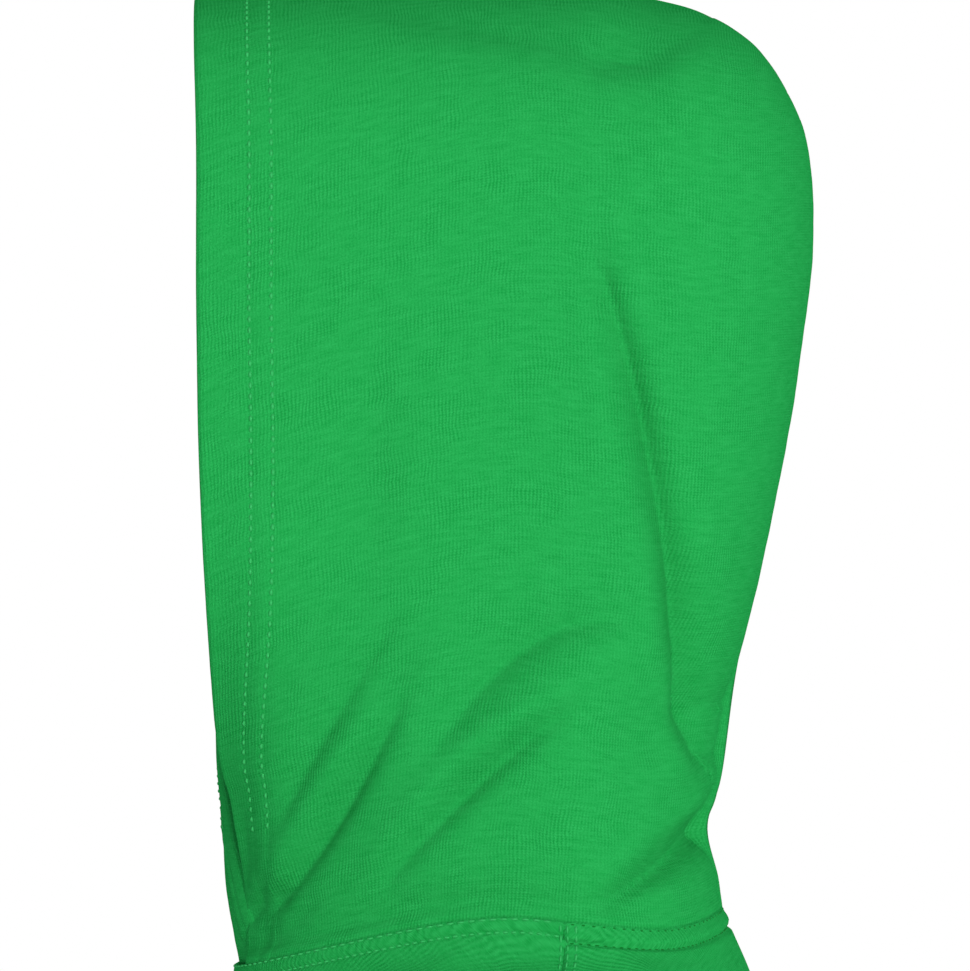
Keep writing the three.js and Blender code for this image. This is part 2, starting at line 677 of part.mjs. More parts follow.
const FLEECE = new THREE.MeshStandardMaterial({ name: 'fleece', color: 0x28ac52, roughness: 0.95 });
const RIB = new THREE.MeshStandardMaterial({ name: 'rib_knit', color: 0x26a64e, roughness: 0.95 });

const group = new THREE.Group();
group.name = 'pullover_hoodie';
group.add(meshOf('hood_left', hoodSolid(LEFT_HOOD, false), FLEECE));
group.add(meshOf('hood_right', hoodSolid(RIGHT_HOOD, true), FLEECE));
group.add(meshOf('front', bodyPanel(true, FRONT_COLUMNS), FLEECE));
group.add(meshOf('back', bodyPanel(false, BACK_COLUMNS), FLEECE));
group.add(meshOf('sleeve_left', sleeveSolid(CREASES_LEFT, false), FLEECE));
group.add(meshOf('sleeve_right', sleeveSolid(CREASES_RIGHT, true), FLEECE));
group.add(meshOf('cuff_left', cuffBand(false), RIB));
group.add(meshOf('cuff_right', cuffBand(true), RIB));
group.add(meshOf('hem_band', hemBand(), RIB));

export default group;
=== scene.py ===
import math

import bpy
import numpy as np
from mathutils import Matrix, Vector


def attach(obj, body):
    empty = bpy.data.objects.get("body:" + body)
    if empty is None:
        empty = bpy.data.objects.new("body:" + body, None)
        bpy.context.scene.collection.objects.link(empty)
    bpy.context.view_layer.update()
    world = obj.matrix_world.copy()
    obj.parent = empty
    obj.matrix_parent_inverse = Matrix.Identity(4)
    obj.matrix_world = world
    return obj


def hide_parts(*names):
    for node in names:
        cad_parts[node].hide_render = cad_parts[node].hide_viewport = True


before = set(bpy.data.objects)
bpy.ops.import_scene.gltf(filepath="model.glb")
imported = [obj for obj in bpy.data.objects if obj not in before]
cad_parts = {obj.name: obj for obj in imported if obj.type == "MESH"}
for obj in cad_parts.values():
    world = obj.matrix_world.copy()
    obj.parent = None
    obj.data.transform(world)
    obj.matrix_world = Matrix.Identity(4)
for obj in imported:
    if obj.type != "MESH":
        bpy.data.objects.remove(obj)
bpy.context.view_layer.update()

# Pullover hoodie in worn form, seen from the wearer's left. Sizes are millimetres until a mesh
# is made. The front faces -Y, the wearer's left is +X and up is +Z.
RADIAN = math.pi / 180
WALL = 2.0
RIB_WALL = 2.2
SEAM_GAP = 0.3
# Turned hem of the face opening: its doubled wall, its depth and the way between its stitch rows
HEM_WALL = 3.0
HEM_DEPTH = 28.0
HEM_ROWS_APART = 8.3
# Strip under the neck seam, and how far the shoulder tip is let down
NECK_STRIP = 5.6
TIP_DROP = 5.0
# Folds of the body and the sleeves run deeper than their tables say by these shares
BODY_FOLDS = 1.7
SLEEVE_FOLDS = 1.25

# Camera on the wearer's left: distance, the point it looks at, and the width of its view.
CAMERA_FAR = 3000.0
LOOK_Y = 1.9
LOOK_Z = 169.0
VIEW_WIDE = 373.1


def table(names, *rows):
    keys = names.split()
    return {key: np.array([row[i] for row in rows], float) for i, key in enumerate(keys)}


# Rings of the body from the neck seam over the shoulder tip and the underarm to the hem band: half
# width, middle, reach to the front and the back, heights at front, side and back, and squareness.
BODY = table(
    "half mid fore aft front side back square",
    (87, 32, 126, 61, -15, 5.6, 7, 2.0),
    (92, 32, 128, 72, -30, -8, -18, 2.0),
    (112, 29, 133, 86, -56, -19, -44, 2.05),
    (158, 22, 138, 101, -98, -33, -78, 2.1),
    (200, 13, 141, 114, -146, -51, -116, 2.15),
    (198, 5, 142, 124, -204, -154, -186, 2.25),
    (186, 0, 139, 126, -266, -258, -262, 2.25),
    (181, -2, 134, 121, -360, -356, -358, 2.2),
    (180, -3, 131, 118, -472, -470, -470, 2.2),
    (187, -3, 135, 126, -582, -580, -580, 2.2),
    (177, -3, 127, 117, -622, -622, -622, 2.2),
    (173, -3, 124, 114, -655, -655, -655, 2.2),
    (170, -3, 122, 112, -688, -688, -688, 2.2),
)
SHOULDER_TIP = 4
UNDERARM = 6
BAND_TOP = 10
BAND_FOOT = 12

# Centre seam of the hood from the top of the face opening over the crown to the neck.
CENTRE_SEAM = table(
    "y z",
    (-109, 358), (-60, 361), (0, 362), (40, 361), (67, 356), (87, 350), (106, 337),
    (119, 318), (126, 298), (128, 267), (125, 232), (118, 187), (109, 142), (99, 100),
    (93, 58), (87.5, 38), (91.5, 19), (93, 7.3),
)
CROWN = 7

# Face edge of each hood panel from the neck seam up.
FACE_LEFT = table(
    "y z",
    (-88.5, -14), (-88.8, 3), (-92, 26), (-95.5, 48), (-100, 69), (-103, 120),
    (-105.5, 182), (-106.4, 240), (-106.6, 300), (-109, 358),
)
FACE_RIGHT = table(
    "y z",
    (-84, -13), (-88.5, 2), (-92.5, 20), (-97.5, 44), (-101.5, 69), (-103.2, 120),
    (-105.5, 182), (-106.4, 240), (-106.6, 300), (-109, 358),
)

# Steps round the front and back half of the neck, half the hood's width and the reach of its rounding
FRONT_COLUMNS = 24
BACK_COLUMNS = 22
HOOD_HALF = 88.0
HOOD_ROUND = 88.0

# Creases: start, middle and end in a flat view, half width, depth, strength at both ends and the
# height of the soft ridge beside the trough, which is positive to the right of the crease's way.
CREASE = "a0 b0 am bm a1 b1 wide deep head tail lip"
HOOD_LEFT_CREASES = table(
    CREASE,
    # Long sharp trough down the side, the cloth behind it lies lower
    (47.5, 250, 70.5, 170, 90.0, 66, 4.7, 10.5, 0.30, 0.75, 0.4),
    (44, 268, 46, 258, 49, 244, 6.0, 2.4, 0.2, 0.4, 0.0),
    (83, 132, 86.5, 92, 94, 58, 7.5, 3.6, 0.4, 0.4, 0.0),
    # Broad diagonal from the back towards the front
    (62, 116, 20, 108, -18, 66, 5.4, 7.6, 0.10, 0.10, -0.5),
    # Diagonal under it, with a full ridge between the two
    (38, 84, -1, 54, -37, 15, 3.7, 7.0, 0.10, 0.25, 0.7),
    # Sharp one to the foot of the face hem, and a softer one above it
    (-29, 88, -51.5, 47, -78, 8, 3.6, 7.4, 0.10, 0.6, 0.6),
    (-33, 116, -57, 78, -78, 38, 3.8, 4.4, 0.15, 0.2, 0.4),
    (-18, 108, -34, 96, -46, 74, 6.0, 2.4, 0.1, 0.1, 0.0),
    # Back of the neck
    (92, 41, 74, 23, 46, 6, 4.0, 9.5, 1.0, 0.15, 0.5),
    # Faint long hollow down the middle
    (-41, 232, -44, 170, -46, 108, 10, 2.4, 0.1, 0.1, 0.0),
    # Soft hollows under the crown
    (46, 336, 6, 346, -50, 355, 7.0, 3.0, 0.5, 0.2, 0.0),
    (84, 346, 62, 336, 38, 331, 7.5, 3.8, 0.3, 0.1, 0.0),
    # Slack above the back of the neck
    (88, 80, 66, 70, 44, 58, 8.0, 4.2, 0.8, 0.1, 0.0),
    (40, 46, 10, 40, -20, 30, 9.0, 1.4, 0.2, 0.1, 0.0),
    # Short creases at the foot of the face hem
    (-82, 20, -85, 10, -88, 1, 1.8, 3.4, 0.3, 0.6, 0.5),
    (-76, 16, -81, 4, -84, -10, 2.2, 2.4, 0.1, 0.7, 0.4),
    (-62, 10, -73, 0, -83, -10, 3.4, 2.4, 0.1, 0.5, 0.3),
    (-91, 44, -90, 24, -91, 6, 1.8, 1.4, 0.1, 0.5, 0.4),
    # Cloth drawn in along the neck seam
    (-84, -14, -30, 5, 24, 8, 6.0, 3.4, 0.6, 0.3, 0.0),
    (20, 8, 52, 4, 90, 10, 5.5, 1.6, 0.5, 0.8, 0.0),
)
HOOD_RIGHT_CREASES = table(
    CREASE,
    (54, 240, 74, 172, 86, 100, 4.0, 4.2, 0.20, 0.35, -0.7),
    (66, 256, 86, 184, 96, 120, 13, 3.2, 0.2, 0.2, -0.3),
    (64, 132, 26, 116, -8, 88, 6.6, 4.4, 0.15, 0.2, 0.7),
    (58, 124, 18, 108, -20, 72, 14, 2.6, 0.2, 0.1, 0.3),
    (40, 70, 4, 48, -26, 20, 3.6, 3.4, 0.10, 0.3, 0.6),
    (-22, 96, -46, 52, -73, 8, 3.2, 4.0, 0.2, 0.7, 0.8),
    (-42, 124, -60, 88, -76, 50, 3.8, 2.4, 0.1, 0.3, 0.5),
    (90, 36, 68, 26, 40, 12, 4.0, 5.0, 1.0, 0.10, 0.6),
    (94, 96, 86, 82, 91, 62, 8, 3.6, 0.6, 0.2, 0.2),
    (-30, 236, -34, 170, -44, 118, 11, 1.5, 0.1, 0.1, 0.3),
    (-66, 350, 10, 330, 82, 344, 8, 3.2, 0.5, 0.6, -0.5),
    (86, 70, 62, 60, 38, 56, 7, 2.0, 0.5, 0.1, 0.3),
    (-72, 22, -79, 6, -85, -6, 2.8, 2.2, 0.1, 0.6, 0.4),
    (-34, 12, -8, 10, 24, 12, 5, 1.2, 0.1, 0.1, 0.0),
)

# Creases of the body: place round it from the front middle, at so many mm to a degree, and height.
BODY_AROUND = 2.75
BODY_CREASES = table(
    CREASE,
    (235, -285, 180, -256, 120, -240, 13, 4.6, 0.6, 0.05, 0.35),
    (-230, -300, -184, -276, -130, -262, 12, 4.6, 0.6, 0.05, -0.35),
    (222, -330, 170, -318, 118, -322, 11, 3.2, 0.5, 0.05, 0.3),
    (-220, -345, -160, -330, -116, -342, 12, 3.2, 0.5, 0.05, -0.3),
    (90, -60, 74, -130, 40, -205, 15, 3.4, 0.2, 0.1, 0.25),
    (-84, -60, -76, -120, -50, -190, 15, 3.4, 0.2, 0.1, -0.25),
    (132, -84, 128, -130, 104, -190, 11, 2.6, 0.2, 0.1, 0.3),
    (-136, -80, -126, -140, -96, -204, 12, 2.6, 0.2, 0.1, -0.3),
    (250, -560, 160, -522, 70, -520, 15, 4.4, 0.3, 0.05, 0.35),
    (-245, -530, -160, -540, -90, -575, 15, 4.4, 0.3, 0.05, -0.35),
    (210, -606, 120, -588, 40, -598, 9, 3.8, 0.3, 0.1, 0.4),
    (-40, -606, -110, -592, -200, -604, 9, 3.6, 0.2, 0.2, -0.4),
    (30, -570, -20, -560, -70, -600, 10, 3.0, 0.1, 0.2, -0.3),
    (-150, -420, -90, -440, -20, -500, 16, 2.8, 0.1, 0.1, -0.3),
    (160, -400, 90, -430, 30, -470, 17, 2.8, 0.1, 0.1, 0.3),
    (330, -290, 372, -304, 420, -330, 14, 4.6, 0.6, 0.05, -0.3),
    (-335, -300, -372, -320, -410, -352, 14, 4.2, 0.6, 0.05, 0.3),
    (320, -545, 400, -508, 480, -500, 15, 4.4, 0.3, 0.1, -0.3),
    (-310, -520, -380, -530, -450, -560, 15, 4.4, 0.3, 0.1, 0.3),
    (420, -60, 410, -130, 440, -240, 15, 3.2, 0.2, 0.1, -0.25),
    (-424, -70, -404, -150, -430, -250, 15, 3.2, 0.2, 0.1, 0.25),
    (300, -606, 380, -590, 470, -602, 9, 3.6, 0.2, 0.2, -0.4),
    (-300, -604, -370, -588, -460, -600, 9, 3.6, 0.2, 0.2, 0.4),
    (470, -400, 430, -430, 380, -500, 16, 2.8, 0.1, 0.1, -0.3),
    (-470, -420, -440, -460, -380, -520, 16, 2.8, 0.1, 0.1, 0.3),
    (500, -90, 484, -120, 496, -170, 14, 2.2, 0.1, 0.1, 0.2),
)

# Creases of a sleeve: place round the arm from its outer side, and along it.
SLEEVE_AROUND = 58
SLEEVE_CREASES = table(
    CREASE,
    (-190, -34, -120, -10, -60, -26, 10, 4.0, 0.8, 0.05, 0.3),
    (190, -28, 126, -6, 70, -30, 10, 4.0, 0.8, 0.05, -0.3),
    (-180, 22, -110, 26, -40, 6, 11, 3.6, 0.6, 0.05, 0.3),
    (182, 30, 110, 30, 50, 16, 11, 3.4, 0.6, 0.05, -0.3),
    (60, 120, 100, 128, 150, 112, 9, 4.4, 0.1, 0.2, 0.4),
    (40, 152, 96, 150, 160, 160, 9, 4.6, 0.1, 0.2, 0.4),
    (56, 186, 100, 176, 150, 194, 9, 3.8, 0.1, 0.2, 0.4),
    (-60, 128, -20, 150, 10, 190, 12, 2.8, 0.1, 0.1, -0.3),
    (-160, 170, -110, 200, -50, 216, 12, 3.0, 0.2, 0.1, 0.3),
    (0, 226, 60, 238, 130, 228, 10, 3.4, 0.1, 0.2, 0.4),
    (-120, 252, -40, 262, 30, 250, 10, 3.4, 0.1, 0.2, -0.4),
    (30, 276, 90, 270, 150, 284, 8, 3.6, 0.1, 0.2, 0.4),
    (-150, 286, -80, 292, 0, 282, 8, 3.6, 0.2, 0.1, 0.4),
    (-40, 302, 20, 306, 100, 300, 7, 3.2, 0.1, 0.2, 0.4),
    (-30, 40, 0, 90, 4, 130, 16, 2.2, 0.1, 0.1, 0.2),
)

# Head of the sleeve, from the armhole to a full ring: turn in degrees, height and width.
CAP = table(
    "turn high wide",
    (0, 208, 124), (20, 184, 126), (39, 160, 127), (57, 143, 127), (72, 133, 126),
)
CAP_STEPS = 4
CAP_LONG = 170

# Arm from the full ring to the cuff: distance, height, width and bend in degrees.
ARM = table(
    "along high wide bend",
    (0, 133, 126, 0), (40, 130, 123, 0), (80, 124, 119, 3), (118, 117, 118, 8),
    (156, 111, 113, 13), (196, 107, 106, 16), (238, 101, 100, 17), (276, 98, 96, 18),
    (306, 96, 93, 18), (322, 86, 82, 18), (330, 66, 62.5, 18), (334, 63.4, 59.8, 18),
)
WRIST = 334.0
WRIST_BEND = 18
# Uneven fullness of each sleeve at the rows of its arm
SWELLS_LEFT = [0, 0, 0.012, 0.028, 0.03, 0.014, 0.012, 0.03, 0.034, 0.01, 0, 0]
SWELLS_RIGHT = [0, 0.006, 0.016, 0.022, 0.034, 0.01, 0.016, 0.024, 0.038, 0.008, 0, 0]
ARMHOLE_FRONT = 21 * RADIAN
ARMHOLE_BACK = 25 * RADIAN
CUFF_LONG = 68.0
CUFF_HALF = 31.0
CUFF_RIBS = 36
BAND_LONG = 66
BAND_RIBS = 132
RIB_POINTS = 8

# Stitches: the pitch of a row and the share of it that a thread covers
FACE_STITCH = (4.12, 0.56)
SEAM_STITCH = (4.0, 0.72)
STRIP_STITCH = (3.2, 0.62)
BAND_STITCH = (3.4, 0.7)
CUFF_STITCH = (3.3, 0.7)


# Small helpers on arrays

def ease(t):
    c = np.clip(t, 0, 1)
    return c * c * (3 - 2 * c)


def mix(a, b, t):
    return a + (b - a) * t


def unit(p):
    long = np.linalg.norm(p, axis=-1, keepdims=True)
    return p / np.maximum(long, 1e-9)


def stack(x, y, z):
    return np.stack(np.broadcast_arrays(x, y, z), axis=-1).astype(float)


def line_marks(points):
    """Distance of each point of a line from its first one."""
    return np.concatenate([[0], np.cumsum(np.linalg.norm(np.diff(points, axis=0), axis=1))])


def on_line(at, marks, points):
    """Places on a line at distances along it."""
    return np.stack([np.interp(at, marks, column) for column in points.T], -1)


def read(rows, name, at):
    """A column of a table at places between its rows, on a smooth line through them."""
    values = rows[name] if isinstance(rows, dict) else np.asarray(rows, float)
    last = len(values) - 1
    at = np.asarray(at, float)
    i = np.clip(np.floor(at).astype(int), 0, last - 1)
    t = at - i

    def value(k):
        return values[np.clip(k, 0, last)]

    rise = (value(i + 1) - value(i - 1)) / 2
    leave = (value(i + 2) - value(i)) / 2
    t2 = t * t
    t3 = t2 * t
    return ((2 * t3 - 3 * t2 + 1) * value(i) + (t3 - 2 * t2 + t) * rise
            + (3 * t2 - 2 * t3) * value(i + 1) + (t3 - t2) * leave)


def curve_points(row, steps):
    """Points of a curve through the start, middle and end of a crease."""
    t = np.linspace(0, 1, steps + 1)
    points = []
    for axis in "ab":
        start, middle, end = row[axis + "0"], row[axis + "m"], row[axis + "1"]
        bend = 2 * middle - (start + end) / 2
        points.append((1 - t) ** 2 * start + 2 * t * (1 - t) * bend + t ** 2 * end)
    return points


def near_crease(a, b, row):
    """The places that a crease can reach."""
    reach = row["wide"] * 4.5
    near = np.ones(np.shape(a), bool)
    for places, axis in ((a, "a"), (b, "b")):
        ends = [row[axis + part] for part in "0m1"]
        near &= (places > min(ends) - reach) & (places < max(ends) + reach)
    return near


def along_line(a, b, line_a, line_b):
    """Distance of places from a line, the side of it they lie on, and the share of it passed."""
    steps = len(line_a) - 1
    best = np.full(a.shape, 1e9)
    side = np.zeros(a.shape)
    share = np.zeros(a.shape)
    for k in range(steps):
        da, db = line_a[k + 1] - line_a[k], line_b[k + 1] - line_b[k]
        long = math.hypot(da, db)
        past_a, past_b = a - line_a[k], b - line_b[k]
        t = np.clip((past_a * da + past_b * db) / long ** 2, 0, 1)
        off = np.hypot(past_a - t * da, past_b - t * db)
        closer = off < best
        best = np.where(closer, off, best)
        side = np.where(closer, (past_a * db - past_b * da) / long, side)
        share = np.where(closer, (k + t) / steps, share)
    return best, side, share


def crease_depth(a, b, rows):
    """Inward depth of all creases of a table at the places (a, b) of a flat view."""
    total = np.zeros(np.shape(a))
    for i in range(len(rows["a0"])):
        row = {key: rows[key][i] for key in rows}
        near = near_crease(a, b, row)
        if not near.any():
            continue
        best, side, share = along_line(a[near], b[near], *curve_points(row, 12))
        ends = np.where(share < 0.5, row["head"], row["tail"])
        strength = ends + (1 - ends) * np.sin(np.pi * np.clip(share, 0, 1)) ** 0.8
        wide = row["wide"] * (0.8 + 0.4 * np.sin(np.pi * share))
        # The trough is steep on its lower right side and gentle on the other
        reach = np.where(side < 0, wide, wide * 2.0)
        # Narrow creases have a sharp foot, broad ones a round one
        power = 1.15 + 0.85 * float(ease((row["wide"] - 4.5) / 4))
        trough = np.exp(-(best / reach) ** power)
        ridge = np.exp(-(((side * np.sign(row["lip"] or 1)) - 2.8 * wide) / (1.6 * wide)) ** 2)
        ridge *= np.exp(-np.maximum(0, best - np.abs(side)) / wide)
        total[near] += row["deep"] * strength * (trough - abs(row["lip"]) * 0.6 * ridge)
    return total


def ripple(a, b, seed, size):
    """Smooth uneven waves between -1 and 1, from a few fixed sines."""
    rng = np.random.default_rng(seed)
    total = np.zeros(np.shape(a))
    for _ in range(7):
        angle = rng.uniform(0, 2 * np.pi)
        wave = rng.uniform(0.6, 1.7) * 2 * np.pi / size
        total += np.sin((a * math.cos(angle) + b * math.sin(angle)) * wave + rng.uniform(0, 6.28))
    return total / 4.5


# Forms of the pieces

def neck_wave(c):
    """Height by which the neck line leaves a plain curve, c being 1 in front and -1 behind."""
    front = 28 * c * np.maximum(0, 1 - c) ** 3
    back = -4 * np.sin(np.pi * np.clip(-c, 0, 1) ** 1.6)
    return np.where(c > 0, front, back)


def body_plain(angle, level):
    """Place on the smooth body at an angle from the front middle and a ring, or between rings."""
    angle, level = np.broadcast_arrays(np.asarray(angle, float), np.asarray(level, float))
    s, c = np.sin(angle), np.cos(angle)
    soft = np.minimum(1.5 * ease(np.abs(c) * 1.6), level)
    soft = np.maximum(0, np.minimum(soft, BAND_TOP - level))

    def ring(name):
        above, here, under = (read(BODY, name, level + part * soft) for part in (-1, 0, 1))
        return (above + 2 * here + under) / 4

    power = 2 / ring("square")
    side = ring("side")
    x = ring("half") * np.sign(s) * np.abs(s) ** power
    way = np.where(c > 0, -ring("fore"), ring("aft"))
    end = np.where(c > 0, ring("front"), ring("back"))
    wave = neck_wave(c) * np.maximum(0, 1 - level)
    return stack(x, ring("mid") + way * np.abs(c) ** power, side + (end - side) * np.abs(c) ** 1.9 + wave)


def grid_normals(points, away):
    """Unit normals of a grid of points, pointing away from the given points."""
    du = np.gradient(points, axis=1)
    dv = np.gradient(points, axis=0)
    n = unit(np.cross(du, dv))
    flip = np.sum(n * (points - away), axis=-1, keepdims=True) < 0
    return np.where(flip, -n, n)


def seam_at(at):
    """Place of the hood's centre seam, in the middle plane."""
    return np.stack([read(CENTRE_SEAM, "y", at), read(CENTRE_SEAM, "z", at)], axis=-1)


def seam_distance(y, z):
    spots = seam_at(np.linspace(0, len(CENTRE_SEAM["y"]) - 1, 121))
    best = np.full(np.shape(y), 1e9)
    for p, q in zip(spots[:-1], spots[1:]):
        d = q - p
        t = np.clip(((y - p[0]) * d[0] + (z - p[1]) * d[1]) / (d @ d), 0, 1)
        best = np.minimum(best, np.hypot(y - p[0] - t * d[0], z - p[1] - t * d[1]))
    return best


def line_at(rows, start, end, share):
    """Places on part of a line of a table, at shares of its length."""
    at = np.linspace(start, end, 161)
    spots = np.stack([read(rows, "y", at), read(rows, "z", at)], axis=-1)
    marks = line_marks(spots)
    return on_line(np.clip(share, 0, 1) * marks[-1], marks, spots)


def foot_angle(u, panel):
    """Angle round the neck of the foot of a hood panel, from its front end to the back middle."""
    front = FRONT_COLUMNS / 2 - panel["skip"]
    count = u * (front + BACK_COLUMNS / 2)
    ahead = 90 - (front - count) * (180 / FRONT_COLUMNS)
    behind = 90 + (count - front) * (180 / BACK_COLUMNS)
    return np.where(count < front, ahead, behind) * RADIAN


def hood_foot(u, panel):
    """Foot of a hood panel on the neck seam, drawn in where it passes under the other one."""
    angle = foot_angle(u, panel)
    p = body_plain(angle, 0.0)
    tuck = panel["tuck"] * ease((12 - angle / RADIAN) / 26)
    inward = unit(stack(-p[..., 0], 20 - p[..., 1], 0.0))
    return p + inward * tuck[..., None] + np.array([0, 0, SEAM_GAP])


def hood_plain(u, v, panel):
    """Smooth hood panel: a side view spanned by its four edges, rounded out from the centre seam."""
    across = 1 - (1 - u) ** 1.35
    rise = 1 - (1 - v) ** 1.45
    foot = hood_foot(u, panel)
    last = len(CENTRE_SEAM["y"]) - 1
    top = line_at(CENTRE_SEAM, 0, CROWN, across)
    c00 = hood_foot(np.array(0.0), panel)
    c10 = hood_foot(np.array(1.0), panel)
    face_rows = panel["face"]
    face = line_at(face_rows, 0, len(face_rows["y"]) - 1, rise)
    nape = line_at(CENTRE_SEAM, last, CROWN, rise)
    footed = ((1 - rise) ** 9)[..., None]
    face = face + (c00[1:] - np.array([face_rows["y"][0], face_rows["z"][0]])) * footed
    nape = nape + (c10[1:] - seam_at(last)) * footed
    c01, c11 = line_at(CENTRE_SEAM, 0, CROWN, 0.0), line_at(CENTRE_SEAM, 0, CROWN, 1.0)
    a, r = across[..., None], rise[..., None]
    flat = ((1 - r) * foot[..., 1:] + r * top + (1 - a) * face + a * nape
            - (1 - a) * (1 - r) * c00[1:] - a * (1 - r) * c10[1:] - (1 - a) * r * c01 - a * r * c11)
    y, z = flat[..., 0], flat[..., 1]
    near = np.clip(seam_distance(y, z) / HOOD_ROUND, 0, 1)
    dome = HOOD_HALF * (1 - (1 - near) ** 2.4) ** (1 / 2.4) * (1 - 0.09 * (1 - across) ** 3)
    x = mix(foot[..., 0], dome, ease(v / panel["splay"]))
    return stack(x, y, z)


def run_lengths(points, axis):
    """Distance along one way of a grid from its first line."""
    steps = np.linalg.norm(np.diff(points, axis=axis), axis=-1)
    sums = np.cumsum(steps, axis=axis)
    pad = np.zeros_like(np.take(sums, [0], axis=axis))
    return np.concatenate([pad, sums], axis=axis)


# Meshes

STITCH_SIDES = 6
STITCH_RINGS = 5


def mirror(points):
    return points * np.array([-1.0, 1.0, 1.0])


def wall_mesh(name, outer, inner, uv, round_way=False, turn_over=False):
    """Closed wall between two grids of points, with its flat places in metres as UVs."""
    if turn_over:
        outer, inner = mirror(outer), mirror(inner)
    rows, cols = outer.shape[:2]
    size = rows * cols
    index = np.arange(size).reshape(rows, cols)
    if round_way:
        index = np.concatenate([index, index[:, :1]], axis=1)
    a, b, c, d = index[:-1, :-1], index[:-1, 1:], index[1:, 1:], index[1:, :-1]
    faces = [np.stack([a, b, c, d], -1).reshape(-1, 4)]
    faces.append(np.stack([a, d, c, b], -1).reshape(-1, 4) + size)
    for line in (index[0], index[-1]):
        flip = line is index[-1]
        p, q = line[:-1], line[1:]
        quad = np.stack([q, p, p + size, q + size], -1)
        faces.append(quad[:, ::-1] if flip else quad)
    if not round_way:
        for k in (0, -1):
            p, q = index[:-1, k], index[1:, k]
            quad = np.stack([p, q, q + size, p + size], -1)
            faces.append(quad[:, ::-1] if k else quad)
    faces = np.concatenate(faces)
    points = np.concatenate([outer.reshape(-1, 3), inner.reshape(-1, 3)])
    # Faces look outward when the first wall does
    middle = points[faces[: (rows - 1) * (index.shape[1] - 1)]]
    normal = np.cross(middle[:, 2] - middle[:, 0], middle[:, 3] - middle[:, 1])
    out = (outer - inner).reshape(-1, 3)[faces[: len(middle), 0]]
    if np.sum(normal * out) < 0:
        faces = faces[:, ::-1]
    flat = np.concatenate([uv.reshape(-1, 2), uv.reshape(-1, 2)]) / 1000
    return make_mesh(name, points, faces, flat)


def add_object(name, data):
    obj = bpy.data.objects.new(name, data)
    bpy.context.scene.collection.objects.link(obj)
    return obj


def make_mesh(name, points, faces, flat=None):
    mesh = bpy.data.meshes.new(name)
    sides = faces.shape[1]
    mesh.vertices.add(len(points))
    mesh.vertices.foreach_set("co", (points / 1000).astype(np.float32).ravel())
    mesh.loops.add(faces.size)
    mesh.loops.foreach_set("vertex_index", faces.astype(np.int32).ravel())
    mesh.polygons.add(len(faces))
    mesh.polygons.foreach_set("loop_start", np.arange(0, faces.size, sides, dtype=np.int32))
    mesh.polygons.foreach_set("loop_total", np.full(len(faces), sides, dtype=np.int32))
    if flat is not None:
        layer = mesh.uv_layers.new(name="cloth")
        layer.data.foreach_set("uv", flat[faces.ravel()].astype(np.float32).ravel())
    mesh.update(calc_edges=True)
    mesh.validate()
    mesh.polygons.foreach_set("use_smooth", np.ones(len(mesh.polygons), dtype=bool))
    return add_object(name, mesh)


def stitch_points(spots, normals, marks, at, thick, proud):
    """Rings of one thread that rises from the cloth and dips back into it."""
    mid = on_line(at, marks, spots)
    up = unit(on_line(at, marks, normals))
    side = unit(np.cross(unit(np.gradient(mid, axis=0)), up))
    around = np.linspace(0, 2 * np.pi, STITCH_SIDES, endpoint=False)[None, :, None]
    arch = np.sin(np.pi * np.linspace(0.06, 0.94, STITCH_RINGS))
    mid = mid + up * ((proud - thick * 0.5) + thick * 0.75 * arch)[:, None]
    half = (thick * 0.5 * (0.45 + 0.55 * arch))[:, None, None]
    ring = side[:, None] * np.cos(around) * 1.25 + up[:, None] * np.sin(around)
    return (mid[:, None] + half * ring).reshape(-1, 3)


def stitch_faces(first):
    """Sides of one thread, and two faces that close each end."""
    base = first + np.arange(STITCH_RINGS * STITCH_SIDES).reshape(STITCH_RINGS, STITCH_SIDES)
    beside = np.roll(base, -1, axis=1)
    sides = np.stack([base[:-1], beside[:-1], beside[1:], base[1:]], -1).reshape(-1, 4)
    start, end = base[0], base[-1]
    ends = [start[[0, 5, 4, 3]], start[[0, 3, 2, 1]], end[[0, 1, 2, 3]], end[[0, 3, 4, 5]]]
    return np.concatenate([sides, ends])


def stitch_mesh(name, lines, thick=0.42, proud=0.12):
    """Short raised threads. Each line gives points, normals, the pitch and the share that shows."""
    points, faces = [], []
    for spots, normals, pitch, show in lines:
        marks = line_marks(spots)
        for i in range(int(marks[-1] / pitch)):
            start = (i + 0.5 - show / 2) * pitch
            at = start + np.linspace(0, 1, STITCH_RINGS) * show * pitch
            faces.append(stitch_faces(len(points) * STITCH_RINGS * STITCH_SIDES))
            points.append(stitch_points(spots, normals, marks, at, thick, proud))
    return make_mesh(name, np.concatenate(points), np.concatenate(faces))


# Materials

def new_material(name):
    material = bpy.data.materials.new(name)
    material.use_nodes = True
    tree = material.node_tree
    return material, tree, tree.nodes["Principled BSDF"]


def node(tree, kind, **values):
    made = tree.nodes.new(kind)
    for key, value in values.items():
        setattr(made, key, value)
    return made


def math_node(tree, operation, first, second=None):
    made = node(tree, "ShaderNodeMath", operation=operation)
    for i, value in enumerate((first, second)):
        if value is None:
            continue
        if isinstance(value, (int, float)):
            made.inputs[i].default_value = value
        else:
            tree.links.new(value, made.inputs[i])
    return made.outputs[0]


def noise(tree, vector, scale, detail):
    made = node(tree, "ShaderNodeTexNoise", noise_dimensions="2D")
    made.inputs["Scale"].default_value = scale
    made.inputs["Detail"].default_value = detail
    tree.links.new(vector, made.inputs["Vector"])
    return made.outputs[0]


def scaled(tree, value, share):
    return math_node(tree, "MULTIPLY", value, share)


def added(tree, first, second):
    return math_node(tree, "ADD", first, second)


